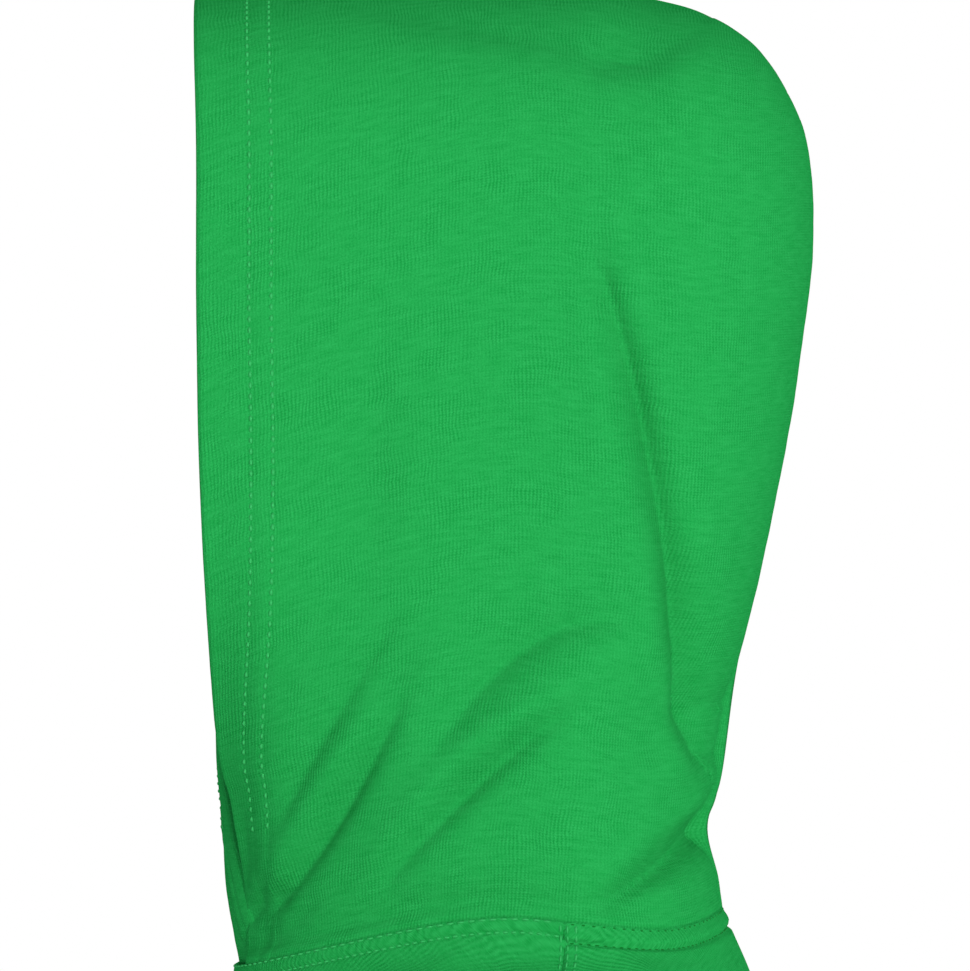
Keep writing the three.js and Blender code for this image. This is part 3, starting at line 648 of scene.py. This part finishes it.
def mapped(tree, value, low, high, start, end, **values):
    """A value taken from one range to another."""
    made = node(tree, "ShaderNodeMapRange", **values)
    for socket, number in (("From Min", low), ("From Max", high), ("To Min", start), ("To Max", end)):
        made.inputs[socket].default_value = number
    tree.links.new(value, made.inputs["Value"])
    return made.outputs[0]


def blended(tree, share, first, second):
    """A colour between two others."""
    made = node(tree, "ShaderNodeMix", data_type="RGBA")
    tree.links.new(share, made.inputs["Factor"])
    made.inputs[6].default_value = (*first, 1)
    made.inputs[7].default_value = (*second, 1)
    return made.outputs[2]


def knit_height(tree, flat, wale, course):
    """Wales along V that wander a little, and courses that lean across each of them."""
    split = node(tree, "ShaderNodeSeparateXYZ")
    tree.links.new(flat, split.inputs[0])
    shift = scaled(tree, noise(tree, flat, 70, 3), 0.0026)
    turns = scaled(tree, added(tree, split.outputs[0], shift), 2 * math.pi / wale)
    wales = math_node(tree, "SINE", turns)
    half = math_node(tree, "SINE", scaled(tree, turns, 0.5))
    lean = scaled(tree, math_node(tree, "ABSOLUTE", half), 2.2)
    along = scaled(tree, split.outputs[1], 2 * math.pi / course)
    loops = math_node(tree, "SINE", added(tree, along, lean))
    return added(tree, scaled(tree, wales, 0.22), scaled(tree, loops, 0.13))


def nap_height(tree, flat):
    """Fine grain of the nap, and short streaks of it across the wales."""
    stretch = node(tree, "ShaderNodeVectorMath", operation="MULTIPLY")
    stretch.inputs[1].default_value = (110, 560, 1)
    tree.links.new(flat, stretch.inputs[0])
    grain = scaled(tree, noise(tree, flat, 1500, 2), 0.75)
    streak = scaled(tree, noise(tree, stretch.outputs[0], 1, 3), 0.55)
    return added(tree, grain, streak)


def fleece(name, light, deep, wale, course, bump):
    """Knitted cloth: wales and courses that fade under the nap in places, darker where it is low: painted
    shade in the sunk knit, and the nap's own mottling.
    """
    material, tree, shader = new_material(name)
    flat = node(tree, "ShaderNodeUVMap", uv_map="cloth").outputs[0]
    knit = knit_height(tree, flat, wale, course)
    worn = mapped(tree, noise(tree, flat, 60, 4), 0.38, 0.64, 0.35, 1.0)
    height = added(tree, math_node(tree, "MULTIPLY", knit, worn), nap_height(tree, flat))
    # Colour follows the height: the sunk knit is painted darker as painted shade, the nap's grain and
    # streaks give the cloth's own mottling
    tone = mapped(tree, height, 0.26, 1.05, 0.0, 1.0)
    tree.links.new(blended(tree, tone, deep, light), shader.inputs["Base Color"])
    relief = node(tree, "ShaderNodeBump")
    relief.inputs["Strength"].default_value = 1.0
    relief.inputs["Distance"].default_value = bump
    tree.links.new(height, relief.inputs["Height"])
    tree.links.new(relief.outputs[0], shader.inputs["Normal"])
    shader.inputs["Roughness"].default_value = 0.9
    shader.inputs["Specular IOR Level"].default_value = 0.0
    return material


def thread(name, colour):
    """Sewing thread, a little uneven in tone."""
    material, tree, shader = new_material(name)
    place = node(tree, "ShaderNodeTexCoord")
    wave = node(tree, "ShaderNodeTexNoise")
    wave.inputs["Scale"].default_value = 2500
    tree.links.new(place.outputs["Object"], wave.inputs["Vector"])
    dark = [c * 0.85 for c in colour]
    pale = [c * 1.15 for c in colour]
    tree.links.new(blended(tree, wave.outputs[0], dark, pale), shader.inputs["Base Color"])
    shader.inputs["Roughness"].default_value = 0.75
    shader.inputs["Specular IOR Level"].default_value = 0.06
    return material


# Fleece and rib: colour of the raised and the sunk knit (the sunk colour is painted shade of its
# hollows), wale, course and relief in metres
FLEECE = fleece(
    "fleece_green", (0.0155, 0.252, 0.0575), (0.0045, 0.176, 0.0300), 0.00138, 0.00100, 0.00028,
)
RIB = fleece(
    "rib_green", (0.0140, 0.238, 0.0530), (0.0042, 0.168, 0.0280), 0.0012, 0.0010, 0.00020,
)
THREAD = thread("thread_green", (0.022, 0.275, 0.072))
# Dark thread that stands in for the shade in sunk stitch holes: painted shade
SHADE_THREAD = thread("thread_shade", (0.0015, 0.115, 0.014))


def paint(obj, material):
    obj.data.materials.append(material)


def dress(obj, cad_node, material):
    paint(obj, material)
    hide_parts(cad_node)
    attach(obj, "root")


def trim(obj, material):
    paint(obj, material)
    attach(obj, "root")


# Hood

LEFT_HOOD = {"skip": 2, "tuck": 0.0, "face": FACE_LEFT, "creases": HOOD_LEFT_CREASES, "splay": 0.34}
RIGHT_HOOD = {"skip": -3, "tuck": 4.2, "face": FACE_RIGHT, "creases": HOOD_RIGHT_CREASES, "splay": 0.34}


def seen_flat(points):
    """Where the camera sees a point of the wearer's left side, in mm at the middle plane."""
    near = CAMERA_FAR / (CAMERA_FAR - points[..., 0])
    return LOOK_Y + (points[..., 1] - LOOK_Y) * near, LOOK_Z + (points[..., 2] - LOOK_Z) * near


def hem_rows(up):
    """Distance of the two stitch rows from the face edge, at a height along it."""
    first = 12.5 + 7.8 * ease((up - 30) / 190)
    return first, first + HEM_ROWS_APART


def hem_relief(across, up):
    """Turned hem: two rows of stitches sunk a little, small puckers between them, a rolled edge."""
    first, second = hem_rows(up)
    deep = 0.40 * np.exp(-((across - first) / 1.1) ** 2)
    deep += 0.40 * np.exp(-((across - second) / 1.1) ** 2)
    waves = np.sin(up / 4.1 * 2 * np.pi + 0.8 * np.sin(up / 23))
    deep += 0.10 * np.exp(-((across - first - 4) / 4.5) ** 2) * waves
    deep -= 0.45 * ease((second + 1 - across) / 1.6)
    return deep + 1.1 * (1 - ease(across / 2.2)) ** 2


def hood_grid(panel, columns, rows, seed):
    """Outer and inner face of a hood panel, with its creases, from the face edge to the centre seam."""
    u, v = np.meshgrid(np.linspace(0, 1, columns + 1), np.linspace(0, 1, rows + 1))
    plain = hood_plain(u, v, panel)
    # The two panels meet in the middle
    plain[:, -1, 0] = -0.1
    plain[-1, :, 0] = -0.1
    away = stack(0 * u, np.clip(plain[..., 1], -60, 40), np.clip(plain[..., 2], 0, 270))
    normals = grid_normals(plain, away)
    normals[:, -1, 0] = 0
    normals[-1, :, 0] = 0
    normals[0, :, 2] = 0
    normals = unit(normals)
    a, b = seen_flat(plain)
    across = run_lengths(plain, 1)
    up = run_lengths(plain, 0)
    to_seam = np.minimum(across[:, -1:] - across, up[-1:] - up)
    hold = ease(to_seam / 9)
    deep = crease_depth(a, b, panel["creases"]) * hold * ease(up / 7)
    slack = 0.30 * ripple(a, b, seed, 60) + 0.12 * ripple(a, b, seed + 1, 17)
    deep += slack * hold * ease(up / 12)
    deep += hem_relief(across, up)
    # Seam allowances press through beside the centre seam
    deep += 0.55 * np.exp(-(to_seam / 1.3) ** 2) * (to_seam > 0)
    deep -= 0.25 * np.exp(-((to_seam - 4.5) / 2.6) ** 2)
    outer = plain - normals * deep[..., None]
    outer[0, :, 2] -= SEAM_GAP / 2 + 0.4
    # The hem turns in towards the face at its foot
    roll = 11 * ease((250 - up) / 200) * (1 - ease(across / 32)) ** 1.4
    outer[..., 0] -= np.minimum(roll, 0.4 * outer[..., 0]) * ease(up / 8)
    thick = mix(WALL, HEM_WALL, ease((HEM_DEPTH + 1.5 - across) / 1.5))
    inner = outer - normals * thick[..., None]
    return outer, inner, normals, across, up


def at_distance(points, across, wanted):
    """One point on each row of a grid, at a distance from its first column."""
    return np.array([on_line(want, marks, row) for row, marks, want in zip(points, across, wanted)])


def cut_line(points, normals, start, end):
    """The part of a line between two shares of its length."""
    marks = line_marks(points)
    count = max(8, int((end - start) * marks[-1] / 1.5))
    at = np.linspace(start * marks[-1], end * marks[-1], count)
    return on_line(at, marks, points), unit(on_line(at, marks, normals))


def make_hood(name, panel, turn_over, seed):
    outer, inner, normals, across, up = hood_grid(panel, 170, 240, seed)
    uv = np.stack([across, up], -1)
    obj = wall_mesh(name + "_cloth", outer, inner, uv, turn_over=turn_over)
    dress(obj, name, FLEECE)
    lines = []
    for row in hem_rows(up[:, 12]):
        spots = at_distance(outer, across, row)
        ups = at_distance(normals, across, row)
        if turn_over:
            spots, ups = mirror(spots), mirror(ups)
        lines.append((*cut_line(spots, ups, 0.125, 0.992), *FACE_STITCH))
    trim(stitch_mesh(name + "_stitches", lines, thick=0.95), THREAD)
    return obj


# Body

def armhole_open(level, ahead):
    """Angle by which the armhole cuts into the front or the back at a ring."""
    phase = np.arccos(np.clip((SHOULDER_TIP + UNDERARM) / 2 - level, -1, 1))
    inside = (level > SHOULDER_TIP) & (level < UNDERARM)
    return np.where(inside, (ARMHOLE_FRONT if ahead else ARMHOLE_BACK) * np.sin(phase), 0)


def body_levels():
    """Rows of the body cloth: close at the neck strip, then over the shoulder, armhole and trunk."""
    strip = np.linspace(0, 0.9, 26)
    shoulder = np.linspace(0.95, SHOULDER_TIP, 50)[:-1]
    arm = (SHOULDER_TIP + UNDERARM) / 2 - np.cos(np.linspace(0, np.pi, 58))
    trunk = np.linspace(UNDERARM, BAND_TOP, 86)[1:]
    return np.concatenate([strip, shoulder, arm, trunk])


def tip_relief(turned, level):
    """The shoulder tip is let down, so that it rounds over into the sleeve."""
    tip = np.exp(-((np.abs(turned) - 90) / 20) ** 2) * np.exp(-((level - 3.6) / 0.3) ** 2)
    return TIP_DROP * tip * ease(np.abs(level - SHOULDER_TIP) * 5)


def strip_relief(ahead, down, side):
    """Raised strip under the neck seam, puckered, with a sunk stitch row at its foot."""
    strip = NECK_STRIP if ahead else NECK_STRIP + 1.9
    rise = 0.5 * ease((strip - down) / 1.3) * ease(down / (1.6 if ahead else 4.5))
    groove, reach = (0.55, 0.9) if ahead else (1.5, 1.2)
    deep = groove * np.exp(-((down - strip) / reach) ** 2) - rise
    if ahead:
        waves = np.sin(side / 3.9 * 2 * np.pi)
        return deep + 0.12 * waves * ease(down / 1.5) * ease((strip - down) / 1.5)
    waves = np.sin(side / 5.2 * 2 * np.pi + 1.2 * np.sin(side / 17))
    return deep + 0.16 * waves * ease((strip + 3 - down) / 3)


def band_gathers(last, side, edge):
    """Gathers where the body is drawn into the hem band."""
    uneven = 0.7 + 0.3 * np.sin(side / 77)
    gather = np.sin(side / 11.5 * 2 * np.pi + 1.7 * np.sin(side / 41)) * uneven
    return gather * np.exp(-(last / 16) ** 2) * ease(last / 2.5) * ease(edge / 8)


def body_grid(ahead, columns):
    """Outer and inner face of the front or the back, with its creases, from the neck down."""
    levels = body_levels()
    lap = 0.8 + 0.2 * ease((levels - SHOULDER_TIP) * 2) * ease((UNDERARM - levels) * 2)
    reach = math.pi / 2 - armhole_open(levels, ahead) + lap / 120
    share = np.linspace(-1, 1, columns + 1)
    angle = share[None] * reach[:, None]
    if not ahead:
        angle = math.pi + angle
    level = np.broadcast_to(levels[:, None], angle.shape)
    plain = body_plain(angle, level)
    away = stack(0 * angle, 0 * angle, np.minimum(plain[..., 2] - 40, -150))
    normals = grid_normals(plain, away)
    turned = np.where(angle > math.pi, angle - 2 * math.pi, angle) / RADIAN
    around = turned * BODY_AROUND
    down = run_lengths(plain, 0)
    side = run_lengths(plain, 1)
    edge = np.minimum(side, side[:, -1:] - side)
    calm = ease(level - 0.6) * ease((BAND_TOP - level) * 3.5)
    deep = BODY_FOLDS * crease_depth(around, plain[..., 2], BODY_CREASES) * calm * ease(edge / 9)
    slack = 0.45 * ripple(around, plain[..., 2], 31 if ahead else 37, 90)
    deep += slack * calm * ease(edge / 12)
    deep += tip_relief(turned, level) + strip_relief(ahead, down, side)
    deep += band_gathers(down[-1:] - down, side, edge)
    # Shoulder and side seams sink a little, their allowances lie to the back
    deep += 0.05 * np.exp(-(edge / 1.0) ** 2)
    if not ahead:
        deep -= 0.4 * ease((7.5 - edge) / 1.2) * ease((edge + 0.8) / 2.0)
    outer = plain - normals * deep[..., None]
    inner = outer - normals * WALL
    return outer, inner, normals, down, side, levels


def level_line(points, down, distance):
    """Points of a grid at one distance below the neck seam."""
    columns = range(points.shape[1])
    return np.array([on_line(distance, down[:, c], points[:, c]) for c in columns])


def offset_point(row, marks, offset):
    """The point of a row at a distance from one of its ends."""
    order = np.argsort(marks)
    return on_line(offset, marks[order], row[order])


def edge_line(outer, normals, marks, rows, offset, start):
    """A stitch row that runs beside an edge of the body, over some rows of its grid."""
    spots = np.array([offset_point(outer[i], marks[i], offset) for i in rows])
    ups = np.array([offset_point(normals[i], marks[i], offset) for i in rows])
    return (*cut_line(spots, ups, start, 0.99), *SEAM_STITCH)


def edge_lines(outer, normals, side, levels, ahead):
    """Stitch rows beside the shoulder seams and the armholes of the front or the back."""
    tip = int(np.argmin(np.abs(levels - SHOULDER_TIP)))
    under = int(np.argmin(np.abs(levels - UNDERARM)))
    lines = []
    for marks in (side, side[:, -1:] - side):
        for offset in ((2.4,) if ahead else (1.4, 4.6)):
            lines.append(edge_line(outer, normals, marks, range(2, tip), offset, 0.0))
        for offset in (2.4, 8.2):
            lines.append(edge_line(outer, normals, marks, range(tip + 2, under - 1), offset, 0.01))
    return lines


def knit_places(ahead, outer, side, down, levels):
    """Flat places of the knit, which runs down the cut piece and turns to the shoulder by the neck."""
    middle = side - side[:, [side.shape[1] // 2]]
    forward = (-outer[..., 1] if ahead else outer[..., 1]) - outer[..., 2]
    forward = forward - forward[0, forward.shape[1] // 2]
    lower = ease((levels - 2) / 4)[:, None]
    return np.stack([mix(outer[..., 0], middle, lower), mix(forward, down, lower)], -1)


def make_body(name, ahead):
    outer, inner, normals, down, side, levels = body_grid(ahead, 136)
    obj = wall_mesh(name + "_cloth", outer, inner, knit_places(ahead, outer, side, down, levels))
    dress(obj, name, FLEECE)

    def row_at(distance, start, end):
        spots = level_line(outer, down, distance)
        ups = unit(level_line(normals, down, distance))
        return cut_line(spots, ups, start, end)

    lines, shade_rows = [], []
    if ahead:
        lines.append((*row_at(NECK_STRIP, 0.006, 0.994), *STRIP_STITCH))
        lines.append((*row_at(0.7, 0.006, 0.994), 4.1, 0.62))
    else:
        # On the back the threads sink in; dark threads stand in for the shade of their holes, as painted
        # shade
        shade_rows.append((*row_at(NECK_STRIP + 2.0, 0.006, 0.994), *STRIP_STITCH))
        shade_rows.append((*row_at(0.7, 0.006, 0.994), 4.1, 0.4))
    lines.append((*row_at(float(down[-1].mean()) - 3.2, 0.004, 0.996), *BAND_STITCH))
    lines += edge_lines(outer, normals, side, levels, ahead)
    trim(stitch_mesh(name + "_stitches", lines, thick=0.7), THREAD)
    if shade_rows:
        trim(stitch_mesh(name + "_stitch_painted_shade", shade_rows, thick=0.5, proud=-0.05), SHADE_THREAD)
    return obj


# Sleeves and cuffs

def arm_axes(bend):
    """Directions of an arm at a bend: along it, to its back, and to its outer side."""
    lean = mix(18, 13, bend / WRIST_BEND) * RADIAN
    tip = bend * RADIAN
    drop = -math.cos(lean) * math.cos(tip)
    facing = unit(np.array([math.sin(lean), -math.sin(tip) * math.cos(lean), drop]))
    ahead = unit(np.cross(facing, unit(np.cross([0, 1, 0], facing))))
    aside = -ahead if ahead[1] < 0 else ahead
    up = unit(np.cross(aside, facing))
    return facing, aside, -up if up[0] < 0 else up


def cap_frame(step):
    """Foot, directions and size of a ring of the sleeve's head."""
    turn = float(read(CAP, "turn", step)) * RADIAN
    share = step / CAP_STEPS
    under = body_plain(math.pi / 2, float(UNDERARM))
    foot = under + np.array([15 * share, 0, -10 * share])
    up = np.array([math.sin(turn), 0, math.cos(turn)])
    facing = np.array([math.cos(turn), 0, -math.sin(turn)])
    return foot, up, facing, float(read(CAP, "high", step)), float(read(CAP, "wide", step))


def armhole_places(count):
    """Angles and rings of places round the armhole, down its front and up its back."""
    half = count // 2
    down = np.arange(half) / half
    back = np.arange(half, 0, -1) / half
    phase = np.pi * np.concatenate([down, back])
    level = (SHOULDER_TIP + UNDERARM) / 2 - np.cos(phase)
    ahead = np.arange(count) < half
    angle = math.pi / 2 + np.where(ahead, -ARMHOLE_FRONT, ARMHOLE_BACK) * np.sin(phase)
    return angle, level


def arm_middle(along):
    """Middle of the arm at a distance from its first full ring."""
    foot, up, _, high, _ = cap_frame(CAP_STEPS)
    step = 2.0
    bends = np.interp(np.arange(0, 420, step) + step / 2, ARM["along"], ARM["bend"])
    ways = np.array([arm_axes(b)[0] for b in bends]) * step
    start = foot + up * high / 2
    spots = np.concatenate([[start], start + np.cumsum(ways, axis=0)])
    return on_line(along, np.arange(len(spots)) * step, spots)


def cap_rings(count, phase):
    """Rings of the sleeve's head, from the outline of the armhole to a round one."""
    loop = body_plain(*armhole_places(count))
    foot0, _, _, high0, wide0 = cap_frame(0)
    own = loop - foot0
    rings, alongs = [], []
    for step in np.linspace(0, CAP_STEPS, 37):
        foot, up, facing, high, wide = cap_frame(step)
        share = step / CAP_STEPS
        soft = float(ease(share * 1.15))
        tall = mix(own[:, 2] / high0, (1 + np.cos(phase)) / 2, soft)
        aside = mix(own[:, 1] / wide0, -np.sin(phase) / 2, soft)
        ring = foot + np.outer(tall * high, up) + np.outer(aside * wide, [0, 1, 0])
        rings.append(ring + np.outer(own[:, 0] * (1 - soft), facing))
        alongs.append(-CAP_LONG * (1 - share))
    return rings, alongs


def arm_rings(phase, swells):
    """Rings of the arm down to the cuff, unevenly full."""
    last = len(ARM["along"]) - 1
    rings, alongs = [], []
    for at in np.linspace(0, last, 100)[1:]:
        along = float(np.interp(at, np.arange(last + 1), ARM["along"]))
        bend = float(np.interp(along, ARM["along"], ARM["bend"]))
        _, aside, up = arm_axes(bend)
        high, wide = float(read(ARM, "high", at)), float(read(ARM, "wide", at))
        swell = float(np.interp(at, np.arange(last + 1), swells))
        fullness = 1 + swell * np.sin(phase * 2 + along * 0.11)
        rings.append(arm_middle(along) + np.outer(np.cos(phase) * high * fullness / 2, up)
                     + np.outer(-np.sin(phase) * wide * fullness / 2, aside))
        alongs.append(along)
    return rings, alongs


def round_normals(rings):
    middle = rings.mean(axis=1, keepdims=True)
    du = np.roll(rings, -1, axis=1) - np.roll(rings, 1, axis=1)
    dv = np.gradient(rings, axis=0)
    n = unit(np.cross(du, dv))
    flip = np.sum(n * (rings - middle), axis=-1, keepdims=True) < 0
    return np.where(flip, -n, n)


def shifted_creases(turn_over, seed):
    """Creases of a sleeve, moved a little on the mirrored one so that the two differ."""
    rows = dict(SLEEVE_CREASES)
    shift = np.random.default_rng(seed).uniform(-1, 1, (6, len(rows["a0"])))
    for k, key in enumerate(("a0", "b0", "am", "bm", "a1", "b1")):
        rows[key] = rows[key] + shift[k] * (6 if turn_over else 0)
    return rows


def cuff_gathers(last, phase):
    """Gathers where the sleeve is drawn into the cuff."""
    gather = np.sin(phase * 15 + 1.3 * np.sin(phase * 3)) * (0.7 + 0.3 * np.sin(phase * 5))
    return 1.3 * gather[None] * np.exp(-((last - 8) / 11) ** 2) * ease(last / 4)


def make_sleeve(name, swells, turn_over, seed):
    count = 112
    phase = 2 * np.pi * np.arange(count) / count
    cap, cap_along = cap_rings(count, phase)
    arm, arm_along = arm_rings(phase, swells)
    rings = np.array(cap + arm)
    normals = round_normals(rings)
    turned = np.where(phase > np.pi, phase - 2 * np.pi, phase)
    places = np.broadcast_to(turned * SLEEVE_AROUND, rings.shape[:2])
    along = np.broadcast_to(np.array(cap_along + arm_along)[:, None], rings.shape[:2])
    down = run_lengths(rings, 0)
    last = down[-1:] - down
    ends = ease(down / 12) * ease(last / 10)
    folds = crease_depth(places, along, shifted_creases(turn_over, seed))
    deep = (SLEEVE_FOLDS * folds + 0.4 * ripple(places, along, seed, 80)) * ends
    deep += cuff_gathers(last, phase)
    # The armhole seam sinks a little
    deep += 0.6 * np.exp(-(down / 1.2) ** 2)
    outer = rings - normals * deep[..., None]
    outer[0] = rings[0] + unit(rings[1] - rings[0]) * SEAM_GAP
    inner = outer - normals * WALL
    uv = np.stack([places, down], -1)
    obj = wall_mesh(name + "_cloth", outer, inner, uv, round_way=True, turn_over=turn_over)
    dress(obj, name, FLEECE)
    row = int(np.argmin(np.abs(last.mean(axis=1) - 3.0)))
    ring = np.concatenate([outer[row], outer[row][:1]])
    ups = np.concatenate([normals[row], normals[row][:1]])
    if turn_over:
        ring, ups = mirror(ring), mirror(ups)
    trim(stitch_mesh(name + "_stitches", [(ring, ups, *CUFF_STITCH)]), THREAD)
    return obj


def rib_profile(turns):
    """Two raised wales and a sunk channel, between 0 and 1."""
    t = np.mod(turns, 1.0)
    return ease(np.clip(np.minimum(t, 1 - t) * 4.4 - 0.25, 0, 1))


def rib_fade(share, reach):
    """Ribs are flatter where they leave a seam."""
    return math.sin(math.pi * min(1, share * reach + 0.15) / 2)


def folded_edge(left, deep, reach):
    """Rolled edge of a band folded double, at a distance left to its fold."""
    return -deep * (1 - float(ease(left / reach))) ** 2


def make_cuff(name, turn_over):
    share = np.arange(CUFF_RIBS * RIB_POINTS) / (CUFF_RIBS * RIB_POINTS)
    phase = 2 * np.pi * share
    facing, aside, up = arm_axes(WRIST_BEND)
    end = arm_middle(WRIST)
    n = np.outer(np.cos(phase), up) - np.outer(np.sin(phase) * 0.94, aside)
    ribs = rib_profile(share * CUFF_RIBS + 0.25)
    rings, inside = [], []
    for h in np.linspace(0, 1, 27):
        middle = end + facing * (SEAM_GAP + h * CUFF_LONG)
        half = CUFF_HALF - 1.5 * h + 1.2 * math.sin(math.pi * h)
        rise = 0.75 * ribs * (0.55 + 0.45 * rib_fade(h, 6))
        roll = folded_edge((1 - h) * CUFF_LONG, 1.2, 2.4)
        lean = 0.3 * math.sin(h * 9) * np.sin(phase * 2 + h * 2)
        rings.append(middle + n * (half + rise + roll + lean)[:, None])
        inside.append(middle + n * (half - RIB_WALL))
    outer = np.array(rings)
    down = run_lengths(outer, 0)
    uv = np.stack([np.broadcast_to(share * 187, down.shape), down], -1)
    obj = wall_mesh(name + "_cloth", outer, np.array(inside), uv, round_way=True, turn_over=turn_over)
    dress(obj, name, RIB)
    return obj


def make_hem(name):
    angles = np.linspace(0, 2 * np.pi, 2881)
    ring = body_plain(angles, (BAND_TOP + BAND_FOOT) / 2)
    marks = line_marks(ring)
    share = np.arange(BAND_RIBS * RIB_POINTS) / (BAND_RIBS * RIB_POINTS)
    angle = np.interp(share * marks[-1], marks, angles)
    n = unit(stack(np.sin(angle) / 1.4, -np.cos(angle), 0.0))
    ribs = rib_profile(share * BAND_RIBS + 0.25)
    rings, inside = [], []
    for h in np.linspace(0, 1, 23):
        p = body_plain(angle, mix(BAND_TOP, BAND_FOOT, h))
        if h == 0:
            p = p - np.array([0, 0, SEAM_GAP])
        rise = 0.85 * ribs * (0.5 + 0.5 * rib_fade(h, 7))
        roll = folded_edge((1 - h) * BAND_LONG, 1.3, 2.6)
        slack = 0.7 * math.sin(math.pi * h) * np.sin(angle * 7 + 2 * np.sin(angle * 3))
        rings.append(p + n * (rise + roll + slack)[:, None])
        inside.append(p - n * RIB_WALL)
    outer = np.array(rings)
    down = run_lengths(outer, 0)
    uv = np.stack([np.broadcast_to(share * marks[-1], down.shape), down], -1)
    obj = wall_mesh(name + "_cloth", outer, np.array(inside), uv, round_way=True)
    dress(obj, name, RIB)
    return obj


hood_left = make_hood("hood_left", LEFT_HOOD, False, 11)
hood_right = make_hood("hood_right", RIGHT_HOOD, True, 19)
front = make_body("front", True)
back = make_body("back", False)
sleeve_left = make_sleeve("sleeve_left", SWELLS_LEFT, False, 5)
sleeve_right = make_sleeve("sleeve_right", SWELLS_RIGHT, True, 7)
cuff_left = make_cuff("cuff_left", False)
cuff_right = make_cuff("cuff_right", True)
hem_band = make_hem("hem_band")


# Stage, light and camera

FLOOR_HALF = 5.0
FLOOR_Z = -0.74


def stage_floor():
    mesh = bpy.data.meshes.new("floor")
    corners = [(x * FLOOR_HALF, y * FLOOR_HALF, FLOOR_Z) for x, y in ((-1, -1), (1, -1), (1, 1), (-1, 1))]
    mesh.from_pydata(corners, [], [(0, 1, 2, 3)])
    obj = add_object("floor", mesh)
    material, _, shader = new_material("floor_pale")
    shader.inputs["Base Color"].default_value = (0.8, 0.8, 0.8, 1)
    shader.inputs["Roughness"].default_value = 0.9
    paint(obj, material)


def area_light(name, place, target, size, power):
    """Square lamp at a place in metres, turned towards a target."""
    data = bpy.data.lights.new(name, "AREA")
    data.shape = "SQUARE"
    data.size = size
    data.energy = power
    obj = add_object(name, data)
    obj.location = place
    obj.rotation_euler = (Vector(target) - Vector(place)).to_track_quat("-Z", "Y").to_euler()


def set_world(level, high):
    """Soft room light: white walls all round, dimmer above and below."""
    world = bpy.data.worlds.new("studio")
    world.use_nodes = True
    tree = world.node_tree
    sky = tree.nodes["Background"]
    way = node(tree, "ShaderNodeTexCoord")
    split = node(tree, "ShaderNodeSeparateXYZ")
    tree.links.new(way.outputs["Generated"], split.inputs[0])
    rise = math_node(tree, "ABSOLUTE", split.outputs[2])
    glow = mapped(tree, rise, 0.25, 0.85, level, high, interpolation_type="SMOOTHSTEP")
    sky.inputs[0].default_value = (1, 1, 1, 1)
    tree.links.new(glow, sky.inputs[1])
    bpy.context.scene.world = world


def set_camera():
    data = bpy.data.cameras.new("camera")
    data.sensor_fit = "HORIZONTAL"
    data.sensor_width = 36.0
    data.lens = 36.0 * CAMERA_FAR / VIEW_WIDE
    data.clip_start = 0.05
    data.clip_end = 60.0
    obj = add_object("camera", data)
    obj.location = (CAMERA_FAR / 1000, LOOK_Y / 1000, LOOK_Z / 1000)
    obj.rotation_euler = (math.pi / 2, 0, math.pi / 2)
    bpy.context.scene.camera = obj


stage_floor()
set_world(1.0, 0.8)
area_light("key", (3.3, 0.85, 0.2), (0, 0, 0.15), 0.9, 118)
area_light("fill", (-1.2, 3.0, 0.5), (0, 0, 0.1), 1.6, 24)
set_camera()
bpy.context.scene.view_settings.view_transform = "Standard"
bpy.context.scene.view_settings.look = "None"
bpy.context.scene.view_settings.exposure = 0.0
